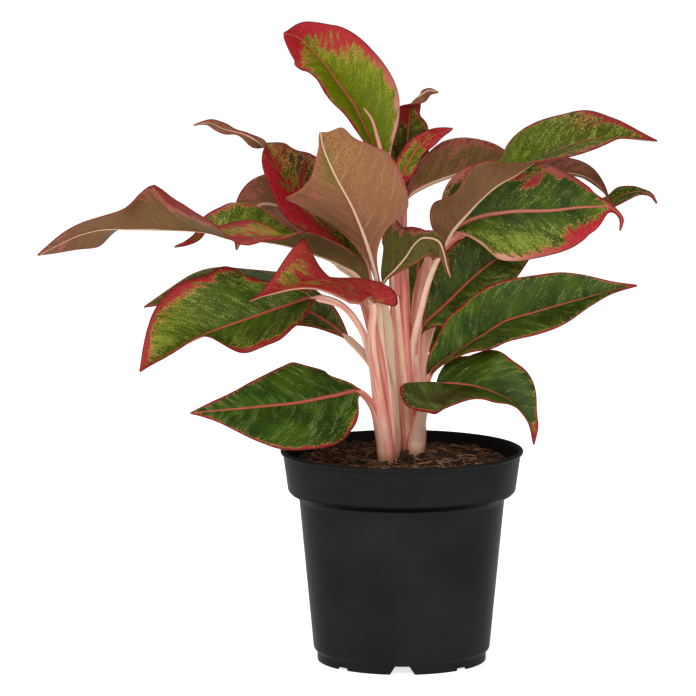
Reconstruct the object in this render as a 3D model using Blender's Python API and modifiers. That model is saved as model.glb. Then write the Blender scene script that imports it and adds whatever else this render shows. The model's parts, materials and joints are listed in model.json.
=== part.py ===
# Potted philippine evergreen: a bushy foliage plant with two leafy shoots in a round nursery pot.
# Lengths are in millimetres in the tables below and are turned to metres where the shapes are made.
# The origin is the middle of the pot's standing plane, Z is up and the plant's face looks to -Y.

import math

import bmesh
import bpy
import numpy as np

MM = 0.001

# the pot
POT_LIP_R = 60.0          # outer radius of the lip
POT_HEIGHT = 105.5        # height of the lip above the ground
BAND_TOP_R = 58.5         # rim band, top and bottom
BAND_LOW_R = 56.2
BAND_LOW_Z = 85.2
BODY_TOP_R = 50.7         # tapered body, top and bottom
BODY_TOP_Z = 80.4
BODY_LOW_R = 43.6
BODY_LOW_Z = 6.2
FOOT_R = 41.8             # foot ring
FOOT_STEP_Z = 4.6
FOOT_WALL = 1.6
WALL = 1.2
FLOOR_Z = 4.3             # underside of the raised floor
PAD_R = 12.5              # round pad in the middle that also stands on the ground
POT_SIDES = 40
NOTCH_COUNT = 8           # gaps in the foot ring that let water out
NOTCH_WIDE = 15.0         # the front and rear ones are wide and high, the others low
NOTCH_NARROW = 7.0
NOTCH_HIGH = 4.2
NOTCH_LOW = (7.5, 1.4)    # width and height of the low ones
SLOT_COUNT = 8            # drain slots in the floor
SLOT_WIDE = 3.0
SLOT_LONG = 12.0
SLOT_R = 29.0

# the soil
GAP = 0.35                # air left between pieces that touch
SOIL_LOW_Z = 5.85
SOIL_TOP_Z = 98.6
SOIL_SIDES = 32

# the canes: points of the centre line, each with its radius
CANES = {
    "shoot_left": [(-4.6, 0, 84, 4.2), (-4.7, 0, 97, 4.3), (-5.4, 0, 106, 4.9), (-6.6, -1, 120, 5.5),
                   (-8.2, -2, 134, 5.4), (-10.4, -3, 150, 4.2)],
    "shoot_right": [(4.4, 15, 84, 4.2), (4.4, 15, 98, 4.3), (4.9, 16, 107, 4.9), (5.4, 17, 119, 5.7),
                    (5.2, 18, 132, 5.6), (4.6, 18, 150, 4.2)],
}
STALK_R_LOW = 2.5         # radius of a leaf stalk at the cane and under the blade
STALK_R_TOP = 1.5
STALK_GAP = 0.6           # from a stalk's end to its blade
STALK_POINTS = 7
SPIKE = [(-2, 13, 180, 1.7), (-4, 9, 214, 1.5), (-6.5, 7, 229, 1.3), (-10.4, 8, 252, 1.0), (-12.6, 9, 260.5, 0.8),
         (-15.2, 9, 268.5, 0.6), (-18.8, 9, 273.5, 0.35)]

# the leaves
BLADE_THICK = 0.7         # at the margin
RIB_THICK = 1.5           # along the midrib
COLUMNS = 2               # mesh columns in half a blade
EDGE_WAVE = 0.8           # height and number of the gentle waves along a margin
EDGE_WAVES = 3

# colours as red, green and blue from 0 to 1, with roughness
LOOKS = {
    "pot": ((0.012, 0.012, 0.013), 0.45),
    "soil": ((0.045, 0.02, 0.01), 0.95),
    "shoot_left": ((0.62, 0.44, 0.29), 0.5),
    "shoot_right": ((0.66, 0.28, 0.22), 0.5),
    "leaf": ((0.05, 0.09, 0.02), 0.4),
}

# One entry a leaf. line runs from the cane to the leaf's tip and the blade starts at point number
# stalk. turns gives, along the blade, the angles of the near and the far half about the line. wide
# gives the widths of the two halves, and sweep how far their margins lean forwards for that width.
LEAVES = {
    # the tall leaf at the very top
    "leaf_top": dict(
        side=1, stalk=4, rows=12, ripple=0.2,
        line=[(4, 16, 106), (0.6, 16, 125), (-2.6, 17, 155), (-4.8, 18, 190), (-5, 20, 230), (-13, 22, 250), (-19, 24, 263),
              (-25, 26, 275), (-31, 27, 283), (-38, 27, 293), (-45, 26, 301), (-51, 22, 307), (-58, 14, 310)],
        turns=[(0, -5, 70), (0.3, -12, 85), (0.45, -17, 88), (0.6, -19, 88), (0.7, -20, 88), (0.8, -32, 88),
               (0.9, -50, 88), (1, -65, 85)],
        wide=[(0, 1.2, 1.2), (0.1, 2.6, 3.5), (0.2, 7, 8.5), (0.3, 13.6, 17), (0.4, 17.6, 22), (0.5, 20.4, 24),
              (0.6, 20.4, 24), (0.7, 19, 22), (0.8, 17.4, 17.5), (0.9, 13.9, 9.5), (0.95, 12.2, 5), (1, 2.2, 0.4)]),
    # a narrow leaf behind it with a curled tip
    "leaf_top_back": dict(
        side=1, stalk=2, rows=11,
        line=[(5.5, 18, 106), (1.5, 24, 180), (1, 29, 228), (2.5, 33, 249), (3.6, 34, 263), (4.6, 33, 271.5),
              (10, 29, 278), (14, 25, 280.5), (18, 22, 280)],
        turns=[(0, -50, 55), (0.55, -50, 55), (0.7, -40, 60), (0.82, 50, 220), (1, 60, 250)],
        wide=[(0, 1.2, 1.2), (0.2, 11, 11), (0.4, 13, 13), (0.55, 13, 12), (0.65, 11, 8), (0.73, 6, 4),
              (0.85, 4, 2), (0.93, 2.5, 1.2), (1, 0.4, 0.4)]),
    # a small young leaf in front of it
    "leaf_small_young": dict(
        side=-1, stalk=2, rows=8,
        line=[(5, 15, 106), (-2.5, 14, 180), (-5, 11, 227.4), (1, 13, 241.5), (7, 15.5, 252), (15, 17.5, 258.5),
              (25, 18.5, 262.5)],
        turns=[(0, -50, 80), (1, -50, 80)],
        wide=[(0, 1.2, 1.2), (0.15, 4, 5), (0.3, 5.5, 6), (0.5, 5.5, 6), (0.7, 5, 5), (0.8, 4.3, 4),
              (0.9, 2.6, 2.5), (1, 0.4, 0.4)]),
    # a short broad leaf up on the right, behind
    "leaf_right_high_back": dict(
        side=-1, stalk=2, rows=9,
        line=[(6, 15, 106), (1, 13, 180), (2.5, 14, 229), (12, 19, 234), (24, 23, 238), (36, 27, 241.3),
              (47, 31, 244.3), (56, 34, 245.4)],
        turns=[(0, 60, 160), (0.5, 84, 168), (1, 90, 168)],
        wide=[(0, 1.2, 1.2), (0.1, 9, 4), (0.2, 13.5, 6), (0.35, 17.5, 8), (0.5, 18, 10), (0.65, 16.2, 11),
              (0.8, 11.5, 10), (0.92, 5.5, 5), (1, 0.4, 0.4)]),
    # the upright leaf in the middle, its underside to the front
    "leaf_middle_tall": dict(
        side=1, stalk=3, rows=13, ref=(1, 0, 0),
        line=[(-6, -2, 104), (-7, -4, 129), (-11, -8, 165), (-12, -13, 189), (-16.4, -23, 207.6), (-24, -31, 228.6),
              (-34.4, -34, 249), (-39, -35, 261), (-40, -34, 266.6)],
        turns=[(0, 20, 150), (0.3, 12, 168), (0.7, 8, 172), (1, 10, 170)],
        wide=[(0, 1.2, 1.2), (0.1, 1.5, 2.4), (0.2, 4, 6.6), (0.3, 11, 12.8), (0.37, 17.5, 16.8), (0.42, 24, 19.8),
              (0.5, 27.4, 24.5), (0.6, 28.4, 27.6), (0.67, 28.2, 19), (0.75, 26.2, 10.6), (0.83, 20.6, 5.8),
              (0.92, 15.6, 1.9), (0.97, 8.6, 1.2), (1, 0.4, 0.4)],
        sweep=[(0, 0, 0.8), (0.1, 0.2, 1.3), (0.2, 0.6, 0.97), (0.3, 0.22, 0.7), (0.37, -0.06, 0.63),
               (0.42, -0.1, 0.58), (0.5, 0, 0.5), (0.6, 0, 0.45), (0.75, 0, 0.37), (0.83, 0, 0.5), (0.92, 0, 0.6),
               (0.97, 0.4, 0.3), (1, 0, 0)]),
    # the upper left leaf with a long twisted tip
    "leaf_left_high": dict(
        side=1, stalk=3, rows=14,
        line=[(-5, 6, 104), (-7, 4, 129), (-12, 2, 163), (-20.7, 8, 196.1), (-35.5, 12, 211.4), (-50.4, 13, 227.3),
              (-60.4, 13, 242), (-68, 20, 254), (-77, 26, 258.6), (-88, 30, 261.3), (-95, 31, 264),
              (-103, 32, 262.6)],
        turns=[(0, -5, 65), (0.1, -2, 68), (0.2, -11, 74), (0.3, -24, 76), (0.5, -20, 78), (0.6, -11, 83),
               (0.68, 40, 170), (0.76, 90, 255), (0.88, 60, 240), (1, 90, 260)],
        wide=[(0, 1.2, 1.2), (0.1, 12, 12), (0.2, 17, 17), (0.3, 20, 21), (0.4, 20.5, 23), (0.5, 18, 19.5),
              (0.6, 11, 10), (0.66, 4, 8), (0.69, 2.4, 9.4), (0.72, 1.6, 7.4), (0.76, 1.2, 3.4), (0.81, 1.2, 1.8), (0.86, 3.2, 3.6),
              (0.91, 2.4, 3.2), (0.95, 1.2, 1.2), (1, 0.4, 0.4)]),
    # the long trough of a leaf that reaches furthest to the left
    "leaf_left_long": dict(
        side=1, stalk=3, rows=24,
        line=[(-7, -2, 104), (-8, -4, 129), (-13, -8, 165), (-17, -8, 187.3), (-23, -9, 194), (-32, -12, 200.1),
              (-42, -16, 204.7), (-55, -21, 209.7), (-69, -27, 213), (-83, -32, 214.5), (-94, -35, 218),
              (-113, -40, 220), (-130, -44, 220.6), (-146, -47, 221), (-158, -50, 218.2), (-169, -52, 213),
              (-176.5, -54, 209.2)],
        turns=[(0, 70, 110), (0.055, 88, 120), (0.09, 50, 146), (0.13, 40, 157), (0.18, 33, 165), (0.25, 28, 168),
               (0.3, 24, 162), (0.351, 12, 161), (0.397, 8, 168), (0.44, 4, 178), (0.465, 5, 184), (0.5, 7, 180),
               (0.54, 16, 168), (0.577, 24, 157), (0.615, 37, 146), (0.635, 45, 138), (0.653, 58, 132),
               (0.67, 75, 145), (0.686, 75, 160), (0.712, 70, 180), (0.757, 46, 195), (0.8, 38, 218),
               (0.88, 36, 222), (1, 40, 222)],
        wide=[(0, 1.2, 1.2), (0.055, 8, 8), (0.09, 11.5, 10), (0.13, 15, 12), (0.18, 19, 13), (0.25, 24, 15),
              (0.35, 26.5, 20), (0.45, 27.5, 25), (0.55, 27, 27), (0.615, 25.5, 25), (0.65, 24, 23), (0.69, 22, 20),
              (0.71, 19.5, 19), (0.757, 16, 18.5), (0.8, 12.5, 16), (0.88, 8.5, 11.5), (0.95, 4.4, 5.5),
              (1, 0.4, 0.4)]),
    # the green leaf behind it
    "leaf_left_green": dict(
        side=1, stalk=3, rows=13,
        line=[(-5, 5, 104), (-6, 8, 140), (-12, 14, 180), (-33, 18, 196), (-45.6, 18, 204.6), (-57, 16, 215),
              (-65, 13, 221.6), (-73, 9, 225.6), (-82, 4, 226.4), (-89.4, 0, 224.4), (-94.6, -2, 222),
              (-98.6, -5, 218.4), (-101, -8, 213), (-105.6, -11, 209.8), (-111.5, -12, 207.5)],
        turns=[(0, -20, 170), (0.3, -35, 190), (0.5, -45, 200), (0.65, -60, 150), (0.75, -80, 100), (0.85, -80, 110),
               (1, -80, 100)],
        wide=[(0, 1.2, 1.2), (0.1, 5, 8), (0.2, 8, 12), (0.3, 12, 15), (0.4, 14, 16), (0.5, 15, 13), (0.6, 15.6, 3.6),
              (0.68, 13, 1.2), (0.75, 10, 1.2), (0.82, 5, 1.2), (0.9, 2.6, 1.2), (1, 0.4, 0.4)]),
    # the red leaf with one corner drawn up
    "leaf_left_red": dict(
        side=1, stalk=3, rows=16,
        line=[(-7, -4, 104), (-11, -9, 130), (-15, -16, 166), (-14.6, -21, 181), (-24.5, -30, 189.6),
              (-39, -41, 195), (-56.8, -50, 193.2), (-74, -56, 187)],
        turns=[(0, 60, 95), (0.03, 55, 82), (0.08, 30, 84), (0.15, 8, 128), (0.2, -4, 165), (0.3, -13, 185),
               (0.35, -15, 183), (0.4, -16, 164), (0.45, -13, 140), (0.5, -11, 112), (0.6, -6.5, 100), (0.7, -4, 100),
               (0.8, -1, 100), (1, 5, 100)],
        wide=[(0, 1.2, 1.2), (0.03, 2, 6), (0.08, 3.6, 9.5), (0.15, 7, 9), (0.2, 11, 10), (0.3, 18, 12),
              (0.4, 22, 18), (0.45, 23.6, 20.5), (0.5, 23, 21.2), (0.6, 21, 17), (0.7, 18, 11.2), (0.8, 13, 6),
              (0.9, 7, 2.2), (1, 0.4, 0.4)],
        sweep=[(0, 0, -0.2), (0.03, -0.3, -1.5), (0.08, -0.3, -1.35), (0.15, -0.2, -0.75), (0.2, -0.1, -0.25),
               (0.3, 0, 0), (1, 0, 0)]),
    # the broad green leaf on the left
    "leaf_left_low": dict(
        side=1, stalk=5, rows=12,
        line=[(-6, 0, 104), (-12, -4, 132), (-15.6, -6, 153.5), (-20.6, -7.5, 167.5), (-29.6, -9, 178.3),
              (-42.3, -10, 182), (-57.3, -14, 178.5), (-74.4, -20, 173.5), (-98.6, -28, 165.7),
              (-115.3, -36, 158), (-127.8, -42, 150.5)],
        turns=[(0, -25, 98), (0.1, -29, 98), (0.2, -32, 98), (0.3, -36, 98), (0.4, -33, 98), (0.5, -33, 98),
               (0.6, -14, 98), (0.65, 0, 98), (0.7, 8, 98), (0.8, 4, 98), (0.9, -6, 98), (1, -6, 98)],
        wide=[(0, 1.2, 1.2), (0.1, 12, 8), (0.2, 18, 13.5), (0.3, 22, 20.5), (0.36, 22.5, 26.5), (0.42, 23, 28.5),
              (0.5, 22, 27), (0.6, 20, 28), (0.7, 17, 25.6), (0.8, 12, 20), (0.9, 6, 10.5), (1, 0.4, 0.4)]),
    # the leaf behind it
    "leaf_left_low_back": dict(
        side=1, stalk=3, rows=10,
        line=[(-5, 3, 104), (-7.5, 4, 129), (-13, 6, 144), (-27, 10, 159.5), (-40.7, 18, 168.5), (-60.7, 28, 175.5),
              (-90.8, 40, 178.5), (-128.8, 52, 168.8)],
        turns=[(0, -38, 140), (0.3, -38, 150), (0.6, -10, 155), (1, 0, 150)],
        wide=[(0, 1.2, 1.2), (0.1, 6.5, 8), (0.2, 12, 15), (0.3, 17, 19), (0.4, 20, 22), (0.5, 21, 22.5),
              (0.6, 19, 22), (0.7, 16, 20.5), (0.8, 12, 17), (0.9, 7, 9.5), (1, 0.4, 0.4)]),
    # the lowest leaf on the left
    "leaf_left_lowest": dict(
        side=1, stalk=3, rows=12,
        line=[(-7, -3, 105), (-10, -5, 115), (-14, -8, 128), (-20, -12, 135.5), (-33, -22, 135.5), (-50, -34, 134),
              (-71, -46, 133.6), (-102.8, -58, 132.6)],
        turns=[(0, -55, 120), (1, -55, 120)],
        wide=[(0, 1.2, 1.2), (0.03, 3.6, 2), (0.065, 7.6, 5), (0.11, 13.4, 9), (0.17, 20, 13.4), (0.28, 25.2, 18.6),
              (0.34, 26, 21), (0.42, 25.8, 20), (0.5, 25, 18), (0.59, 23, 15), (0.66, 20, 12.6), (0.735, 15.8, 9.8),
              (0.8, 11, 7.6), (0.87, 6, 5.2), (0.93, 3, 3), (1, 0.4, 0.4)]),
    # the high arching leaf on the right
    "leaf_right_high": dict(
        side=-1, stalk=5, rows=16,
        line=[(5, 16, 106), (3.6, 15, 138), (5.2, 15, 155), (9.6, 14, 174), (14.6, 12, 192), (20.7, 8, 205.6),
              (24.6, 5, 213.2), (31, 1, 221.7),
              (38.8, -3, 230.9), (46.4, -5, 237.6), (56, -6, 243.3), (62.9, -6, 247.9), (73.2, -5, 253.3),
              (84.1, -4, 257.5), (95, -2, 259.7), (103.9, 0, 260.1), (125.2, 4, 258)],
        turns=[(0, 70, 120), (0.074, 72, 140), (0.158, 58, 152), (0.257, 33, 165), (0.336, 40, 157), (0.424, 23, 150),
               (0.489, 8.5, 144), (0.58, -4, 140), (0.672, -13, 135), (0.76, -9, 127), (0.83, 5, 130), (1, 5, 130)],
        wide=[(0, 1.2, 1.2), (0.074, 13, 9), (0.158, 20, 12), (0.257, 23, 13), (0.336, 24, 18), (0.42, 24, 22.4),
              (0.49, 23.5, 23), (0.58, 22, 22.5), (0.67, 18.5, 20), (0.76, 13.5, 16.8), (0.83, 9, 12),
              (0.92, 4, 5.3), (1, 0.4, 0.4)]),
    # the broad leaf on the right with a hooked tip
    "leaf_right_broad": dict(
        side=-1, stalk=4, rows=13,
        line=[(6, 18, 106), (6, 20, 150), (11, 22, 185), (17, 22, 205.5), (25, 21, 211.8), (36, 20, 217.5),
              (53, 16, 221.3), (73, 11, 222.6), (92.7, 5, 225.2), (103, 1, 225), (107.6, -2, 219.8), (107, -3, 214.4)],
        turns=[(0, -75, 90), (0.5, -80, 90), (0.8, -75, 90), (1, -70, 90)],
        wide=[(0, 1.2, 1.2), (0.05, 6, 11), (0.133, 15.4, 20), (0.22, 22, 25), (0.32, 24.4, 25.5), (0.42, 24, 25.5),
              (0.53, 21.9, 23.6), (0.64, 19, 17.8), (0.74, 14, 10), (0.82, 7, 3.6), (0.88, 1.8, 1.4),
              (0.95, 1.1, 1.1), (1, 0.4, 0.4)],
        sweep=[(0, 0, -0.4), (0.05, 0, -0.4), (0.133, 0, -0.4), (0.32, 0, -0.2), (0.5, 0, 0), (1, 0, 0)]),
    # two leaves behind it, only their tips seen from the front
    "leaf_right_back_upper": dict(
        side=-1, stalk=3, rows=10,
        line=[(6, 19, 106), (6.5, 30, 150), (14, 37, 194), (38.9, 37, 214), (59, 38, 231), (79.6, 37, 239),
              (92.8, 36, 236.4), (100, 34, 230.4), (103, 33, 225.4)],
        turns=[(0, 40, 200), (1, 36, 204)],
        wide=[(0, 1.2, 1.2), (0.1, 8, 8), (0.2, 12, 12), (0.35, 16, 16), (0.5, 16.5, 15), (0.6, 15.5, 12.6),
              (0.7, 13, 9), (0.8, 8.5, 6), (0.9, 4, 3.2), (1, 0.4, 0.4)]),
    "leaf_right_back_lower": dict(
        side=-1, stalk=3, rows=12,
        line=[(7, 20, 106), (8.4, 35, 150), (16, 43, 184), (34, 47, 201.7), (59, 51, 209.7), (84, 50, 217.4),
              (103.8, 46, 223), (111, 44, 226.4), (118.6, 42, 228.2), (124.2, 41, 226.6), (127.1, 40, 222.6)],
        turns=[(0, -30, 130), (1, -50, 110)],
        wide=[(0, 1.2, 1.2), (0.1, 8, 6), (0.3, 12, 8), (0.5, 10, 6), (0.65, 6, 2.6), (0.72, 5, 3), (0.79, 4.6, 5),
              (0.85, 3.2, 3.6), (0.9, 1.8, 1.8), (0.95, 1.1, 1.1), (1, 0.4, 0.4)]),
    # the long dark green leaf that rises to the right
    "leaf_right_middle": dict(
        side=-1, stalk=3, rows=10,
        line=[(6, 17, 106), (6, 21, 130), (7.4, 24, 148), (9, 26, 159), (23.8, 30, 175), (38.8, 34, 188.8),
              (51, 36, 197.6), (64, 36, 204), (72.6, 34, 207.5)],
        turns=[(0, -45, 98), (0.5, -45, 98), (1, -45, 98)],
        wide=[(0, 1.2, 1.2), (0.1, 6, 3.6), (0.2, 14, 10.5), (0.3, 18.5, 14.8), (0.4, 21, 17.5), (0.5, 21, 19),
              (0.6, 19.8, 18.5), (0.7, 16.8, 16.2), (0.8, 12, 12), (0.9, 6.5, 6.5), (1, 0.4, 0.4)]),
    # the leaf under it, out to the right
    "leaf_right_low": dict(
        side=-1, stalk=2, rows=11,
        line=[(7, 14, 106), (10.4, 14, 124), (13.4, 12, 140), (30, 8, 154), (41, 6, 161.7), (51, 3, 168.5),
              (64.5, 0, 173.2), (78.5, -3, 177.8), (92, -6, 182), (103, -8, 185.4), (115, -12, 188.6)],
        turns=[(0, 3, 100), (0.1, 3, 100), (0.2, -1, 100), (0.3, -8, 100), (0.4, -14, 100), (0.5, -19.5, 100),
               (0.6, -22, 100), (0.7, -21, 100), (0.8, -15, 100), (0.9, -12, 100), (1, -12, 100)],
        wide=[(0, 1.2, 1.2), (0.1, 11.5, 10), (0.2, 18.4, 16.6), (0.3, 21.6, 18.4), (0.4, 22.4, 19.4), (0.5, 23, 19),
              (0.6, 21.7, 17.4), (0.7, 17.4, 15.4), (0.8, 11, 10.8), (0.9, 5, 4.4), (1, 0.4, 0.4)]),
    # the lowest leaf on the right, its tip hanging down
    "leaf_right_lowest": dict(
        side=-1, stalk=2, rows=14,
        line=[(6.4, 13, 107), (10.8, 4, 126), (17.5, 0, 137), (29.5, -8, 139), (43, -17, 137), (54.5, -24, 132),
              (62, -28, 123), (64.3, -30, 112.5)],
        turns=[(0, 40, 125), (0.03, 48, 125), (0.06, 20, 125), (0.1, -16, 125), (0.15, -30, 125), (0.2, -31, 125),
               (0.3, -22, 120), (0.4, -15, 110), (0.5, -9, 110), (0.6, -6, 110), (0.7, 1, 105), (0.8, -2, 98),
               (1, 0, 98)],
        wide=[(0, 1.2, 1.2), (0.03, 6.8, 5.4), (0.06, 13.6, 10), (0.1, 19.4, 13.4), (0.2, 23.8, 16.4), (0.3, 24.4, 19.4),
              (0.4, 21.6, 20.2), (0.5, 18, 18.5), (0.6, 16, 16.8), (0.7, 12, 12.2), (0.8, 8, 6), (0.9, 4, 3.3),
              (1, 0.4, 0.4)],
        sweep=[(0, 0, 0), (0.03, -1.3, 0), (0.06, -1.15, 0), (0.1, -0.8, 0), (0.15, -0.5, 0), (0.2, -0.2, 0),
               (0.3, 0, 0), (1, 0, 0)]),
    # the small leaf curled over in the middle
    "leaf_middle_curled": dict(
        side=-1, stalk=3, rows=14,
        line=[(-5, 2, 104), (-10, -3, 165), (-10.4, -5.5, 187), (-9.2, -6, 189.4), (-4, -5.4, 195), (1.9, -4, 201.9),
              (5.9, -4, 207.8), (9.3, -4, 210.6), (13.7, -4, 210.8), (17.6, -5, 209.4), (20.1, -6, 204.1),
              (21.5, -7, 198.3), (23.5, -8, 192.1)],
        turns=[(0, 95, 270), (0.45, 95, 272), (0.55, 110, 275), (1, 120, 275)],
        wide=[(0, 1.0, 0.8), (0.05, 6, 1), (0.1, 11.4, 1.4), (0.2, 15.4, 3.4), (0.3, 15.8, 6), (0.38, 15.6, 8),
              (0.45, 15.8, 9.7),
              (0.5, 9, 10.8), (0.55, 3.8, 11), (0.6, 4.4, 8.5), (0.65, 3.4, 5.5), (0.75, 2, 2.6), (0.85, 1.8, 1.8),
              (1, 0.4, 0.4)],
        sweep=[(0, 0.2, 0), (0.1, 0.5, 0), (0.2, 0.34, 0), (0.3, 0.26, 0), (0.38, 0.23, 0), (0.45, 0.1, 0.1),
               (0.5, -0.5, 0.2), (0.55, 0, 0.3), (0.65, 0, 1), (0.75, 0, 1.2), (0.85, 0, 0), (1, 0, 0)]),
    # the arching leaf behind the upper left one
    "leaf_left_back": dict(
        side=1, stalk=2, rows=11,
        line=[(-5, 8, 104), (-10, 18, 160), (-26, 25, 200.7), (-41, 30, 215), (-56, 34, 221), (-70, 34, 223),
              (-78, 30, 215), (-82, 26, 201)],
        turns=[(0, 85, 190), (0.2, 86, 215), (0.4, 88, 232), (0.6, 88, 215), (1, 85, 230)],
        wide=[(0, 1.2, 1.2), (0.1, 10, 8), (0.2, 14, 12), (0.3, 17, 15), (0.4, 18, 15), (0.5, 17, 13), (0.6, 15.2, 10),
              (0.7, 11, 8), (0.8, 7, 6), (0.9, 3.4, 3), (1, 0.4, 0.4)]),
    # five leaves round the back, not seen from the front
    "leaf_rear_high": dict(
        side=-1, stalk=2, rows=9, ref=(1, 0, 0),
        line=[(-5, 6, 106), (-12, 28, 160), (-19, 44, 198), (-22, 62, 216), (-23, 84, 224), (-23, 106, 218),
              (-22, 124, 202)],
        turns=[(0, 30, 150), (0.3, 14, 166), (0.7, 8, 172), (1, 10, 170)],
        wide=[(0, 1.2, 1.2), (0.1, 9, 9), (0.2, 14.5, 14.5), (0.35, 18.5, 18.5), (0.5, 19, 19), (0.65, 16.5, 16.5),
              (0.8, 11.5, 11.5), (0.92, 5, 5), (1, 0.4, 0.4)]),
    "leaf_rear_left": dict(
        side=-1, stalk=2, rows=9, ref=(1, 0, 0),
        line=[(-6, 6, 105), (-12, 30, 148), (-24, 50, 186), (-36, 68, 206), (-46, 88, 212), (-54, 106, 208),
              (-60, 120, 197)],
        turns=[(0, 30, 150), (0.3, 14, 166), (0.7, 6, 174), (1, 6, 174)],
        wide=[(0, 1.2, 1.2), (0.1, 8, 8), (0.2, 13, 13), (0.35, 17, 17), (0.5, 18, 18), (0.65, 15.5, 15.5),
              (0.8, 11, 11), (0.92, 5, 5), (1, 0.4, 0.4)]),
    "leaf_rear_right": dict(
        side=-1, stalk=2, rows=9, ref=(1, 0, 0),
        line=[(7, 21, 107), (9.4, 37, 142), (25, 58, 182), (40, 82, 205), (54, 104, 210), (64, 122, 203),
              (70, 134, 190)],
        turns=[(0, 30, 150), (0.3, 14, 166), (0.7, 6, 174), (1, 6, 174)],
        wide=[(0, 1.2, 1.2), (0.1, 8.5, 8.5), (0.2, 14, 14), (0.35, 18, 18), (0.5, 18.5, 18.5), (0.65, 16, 16),
              (0.8, 11, 11), (0.92, 5, 5), (1, 0.4, 0.4)]),
    "leaf_rear_right_low": dict(
        side=-1, stalk=2, rows=9, ref=(1, 0, 0),
        line=[(7, 20, 107), (8.4, 30, 128), (15, 41, 145), (28, 58, 156), (44, 80, 160), (57, 98, 157),
              (66, 111, 148)],
        turns=[(0, 40, 140), (0.3, 16, 164), (0.7, 6, 174), (1, 6, 174)],
        wide=[(0, 1.2, 1.2), (0.1, 8, 8), (0.2, 12.5, 12.5), (0.35, 16, 16), (0.5, 16.5, 16.5), (0.65, 14, 14),
              (0.8, 10, 10), (0.92, 4.6, 4.6), (1, 0.4, 0.4)]),
    "leaf_rear_middle": dict(
        side=-1, stalk=2, rows=8, ref=(1, 0, 0),
        line=[(6, 20, 107), (5, 30, 134), (4.5, 38.5, 150), (7, 47, 168), (8.5, 58, 186), (8.5, 73, 198),
              (7, 91, 200), (5, 105, 193)],
        turns=[(0, 12, 168), (0.3, 8, 172), (0.7, 14, 166), (1, 20, 160)],
        wide=[(0, 1.2, 1.2), (0.1, 6, 6), (0.2, 9, 9), (0.35, 11.5, 11.5), (0.5, 12, 12), (0.65, 10.5, 10.5),
              (0.8, 7.5, 7.5), (0.92, 3.6, 3.6), (1, 0.4, 0.4)]),
}


def collection(name):
    """A new collection of this name in the scene."""
    made = bpy.data.collections.new(name)
    bpy.context.scene.collection.children.link(made)
    return made


def material(name, look):
    """A plain surface of one colour and roughness."""
    made = bpy.data.materials.new(name)
    made.use_nodes = True
    surface = made.node_tree.nodes["Principled BSDF"]
    surface.inputs["Base Color"].default_value = (*look[0], 1.0)
    surface.inputs["Roughness"].default_value = look[1]
    surface.inputs["Metallic"].default_value = 0.0
    return made


def add_part(name, mesh, parts, look):
    """An object for a sub-part, with its own material, standing on the plant's base empty."""
    item = bpy.data.objects.new(name, mesh)
    parts.objects.link(item)
    item.parent = bpy.data.objects["plant_base"]
    mesh.materials.append(material(name, LOOKS[look]))
    return item


def add_cutter(name, mesh, cutters):
    """An object that only cuts others or is joined to them."""
    item = bpy.data.objects.new(name, mesh)
    cutters.objects.link(item)
    item.hide_render = True
    item.display_type = "WIRE"
    return item


def baked(item):
    """Give an object the mesh that its modifiers make of it, and drop the modifiers."""
    bpy.context.view_layer.update()
    graph = bpy.context.evaluated_depsgraph_get()
    mesh = bpy.data.meshes.new_from_object(item.evaluated_get(graph))
    item.modifiers.clear()
    item.data = mesh
    return item


def join_or_cut(item, operation, others):
    """One Boolean with a collection of other objects, which are then removed."""
    step = item.modifiers.new("boolean", "BOOLEAN")
    step.operation = operation
    step.operand_type = "COLLECTION"
    step.collection = others
    step.solver = "MANIFOLD"
    baked(item)
    for other in list(others.objects):
        bpy.data.objects.remove(other)


def profile_mesh(name, profile):
    """A line of (radius, height) pairs in the XZ plane, top to bottom on its outer side."""
    mesh = bpy.data.meshes.new(name)
    shape = bmesh.new()
    corners = [shape.verts.new((r * MM, 0, z * MM)) for r, z in profile]
    for a, b in zip(corners, corners[1:]):
        shape.edges.new((a, b))
    shape.to_mesh(mesh)
    shape.free()
    return mesh


def turn(item, sides):
    """Turn an object's profile about the Z axis."""
    step = item.modifiers.new("screw", "SCREW")
    step.steps = step.render_steps = sides
    step.use_merge_vertices = True
    step.merge_threshold = 0.00001
    return baked(item)


def tube_mesh(name, points, resolution):
    """A round tube along points that each hold their radius, as a closed mesh."""
    curve = bpy.data.curves.new(name, "CURVE")
    curve.dimensions = "3D"
    curve.bevel_depth = MM
    curve.bevel_resolution = resolution
    curve.use_fill_caps = True
    spline = curve.splines.new("POLY")
    spline.points.add(len(points) - 1)
    for knot, (x, y, z, radius) in zip(spline.points, points):
        knot.co = (x * MM, y * MM, z * MM, 1.0)
        knot.radius = radius
    wire = bpy.data.objects.new(name, curve)
    bpy.context.scene.collection.objects.link(wire)
    bpy.context.view_layer.update()
    graph = bpy.context.evaluated_depsgraph_get()
    mesh = bpy.data.meshes.new_from_object(wire.evaluated_get(graph))
    bpy.data.objects.remove(wire)
    shape = bmesh.new()
    shape.from_mesh(mesh)
    bmesh.ops.remove_doubles(shape, verts=shape.verts, dist=0.00001)
    bmesh.ops.recalc_face_normals(shape, faces=shape.faces)
    shape.to_mesh(mesh)
    shape.free()
    return mesh


def block_mesh(name, size, narrow=1.0):
    """A block with the given sizes, its top narrower across Y."""
    mesh = bpy.data.meshes.new(name)
    shape = bmesh.new()
    bmesh.ops.create_cube(shape, size=1.0)
    for corner in shape.verts:
        squeeze = narrow if corner.co.z > 0 else 1.0
        corner.co = (corner.co.x * size[0] * MM, corner.co.y * size[1] * squeeze * MM, corner.co.z * size[2] * MM)
    shape.to_mesh(mesh)
    shape.free()
    return mesh


def around(item, radius, height, angle):
    """Place an object at a radius and an angle about the Z axis, turned to face outwards."""
    item.location = (radius * math.cos(angle) * MM, radius * math.sin(angle) * MM, height * MM)
    item.rotation_euler = (0, 0, angle)


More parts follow.
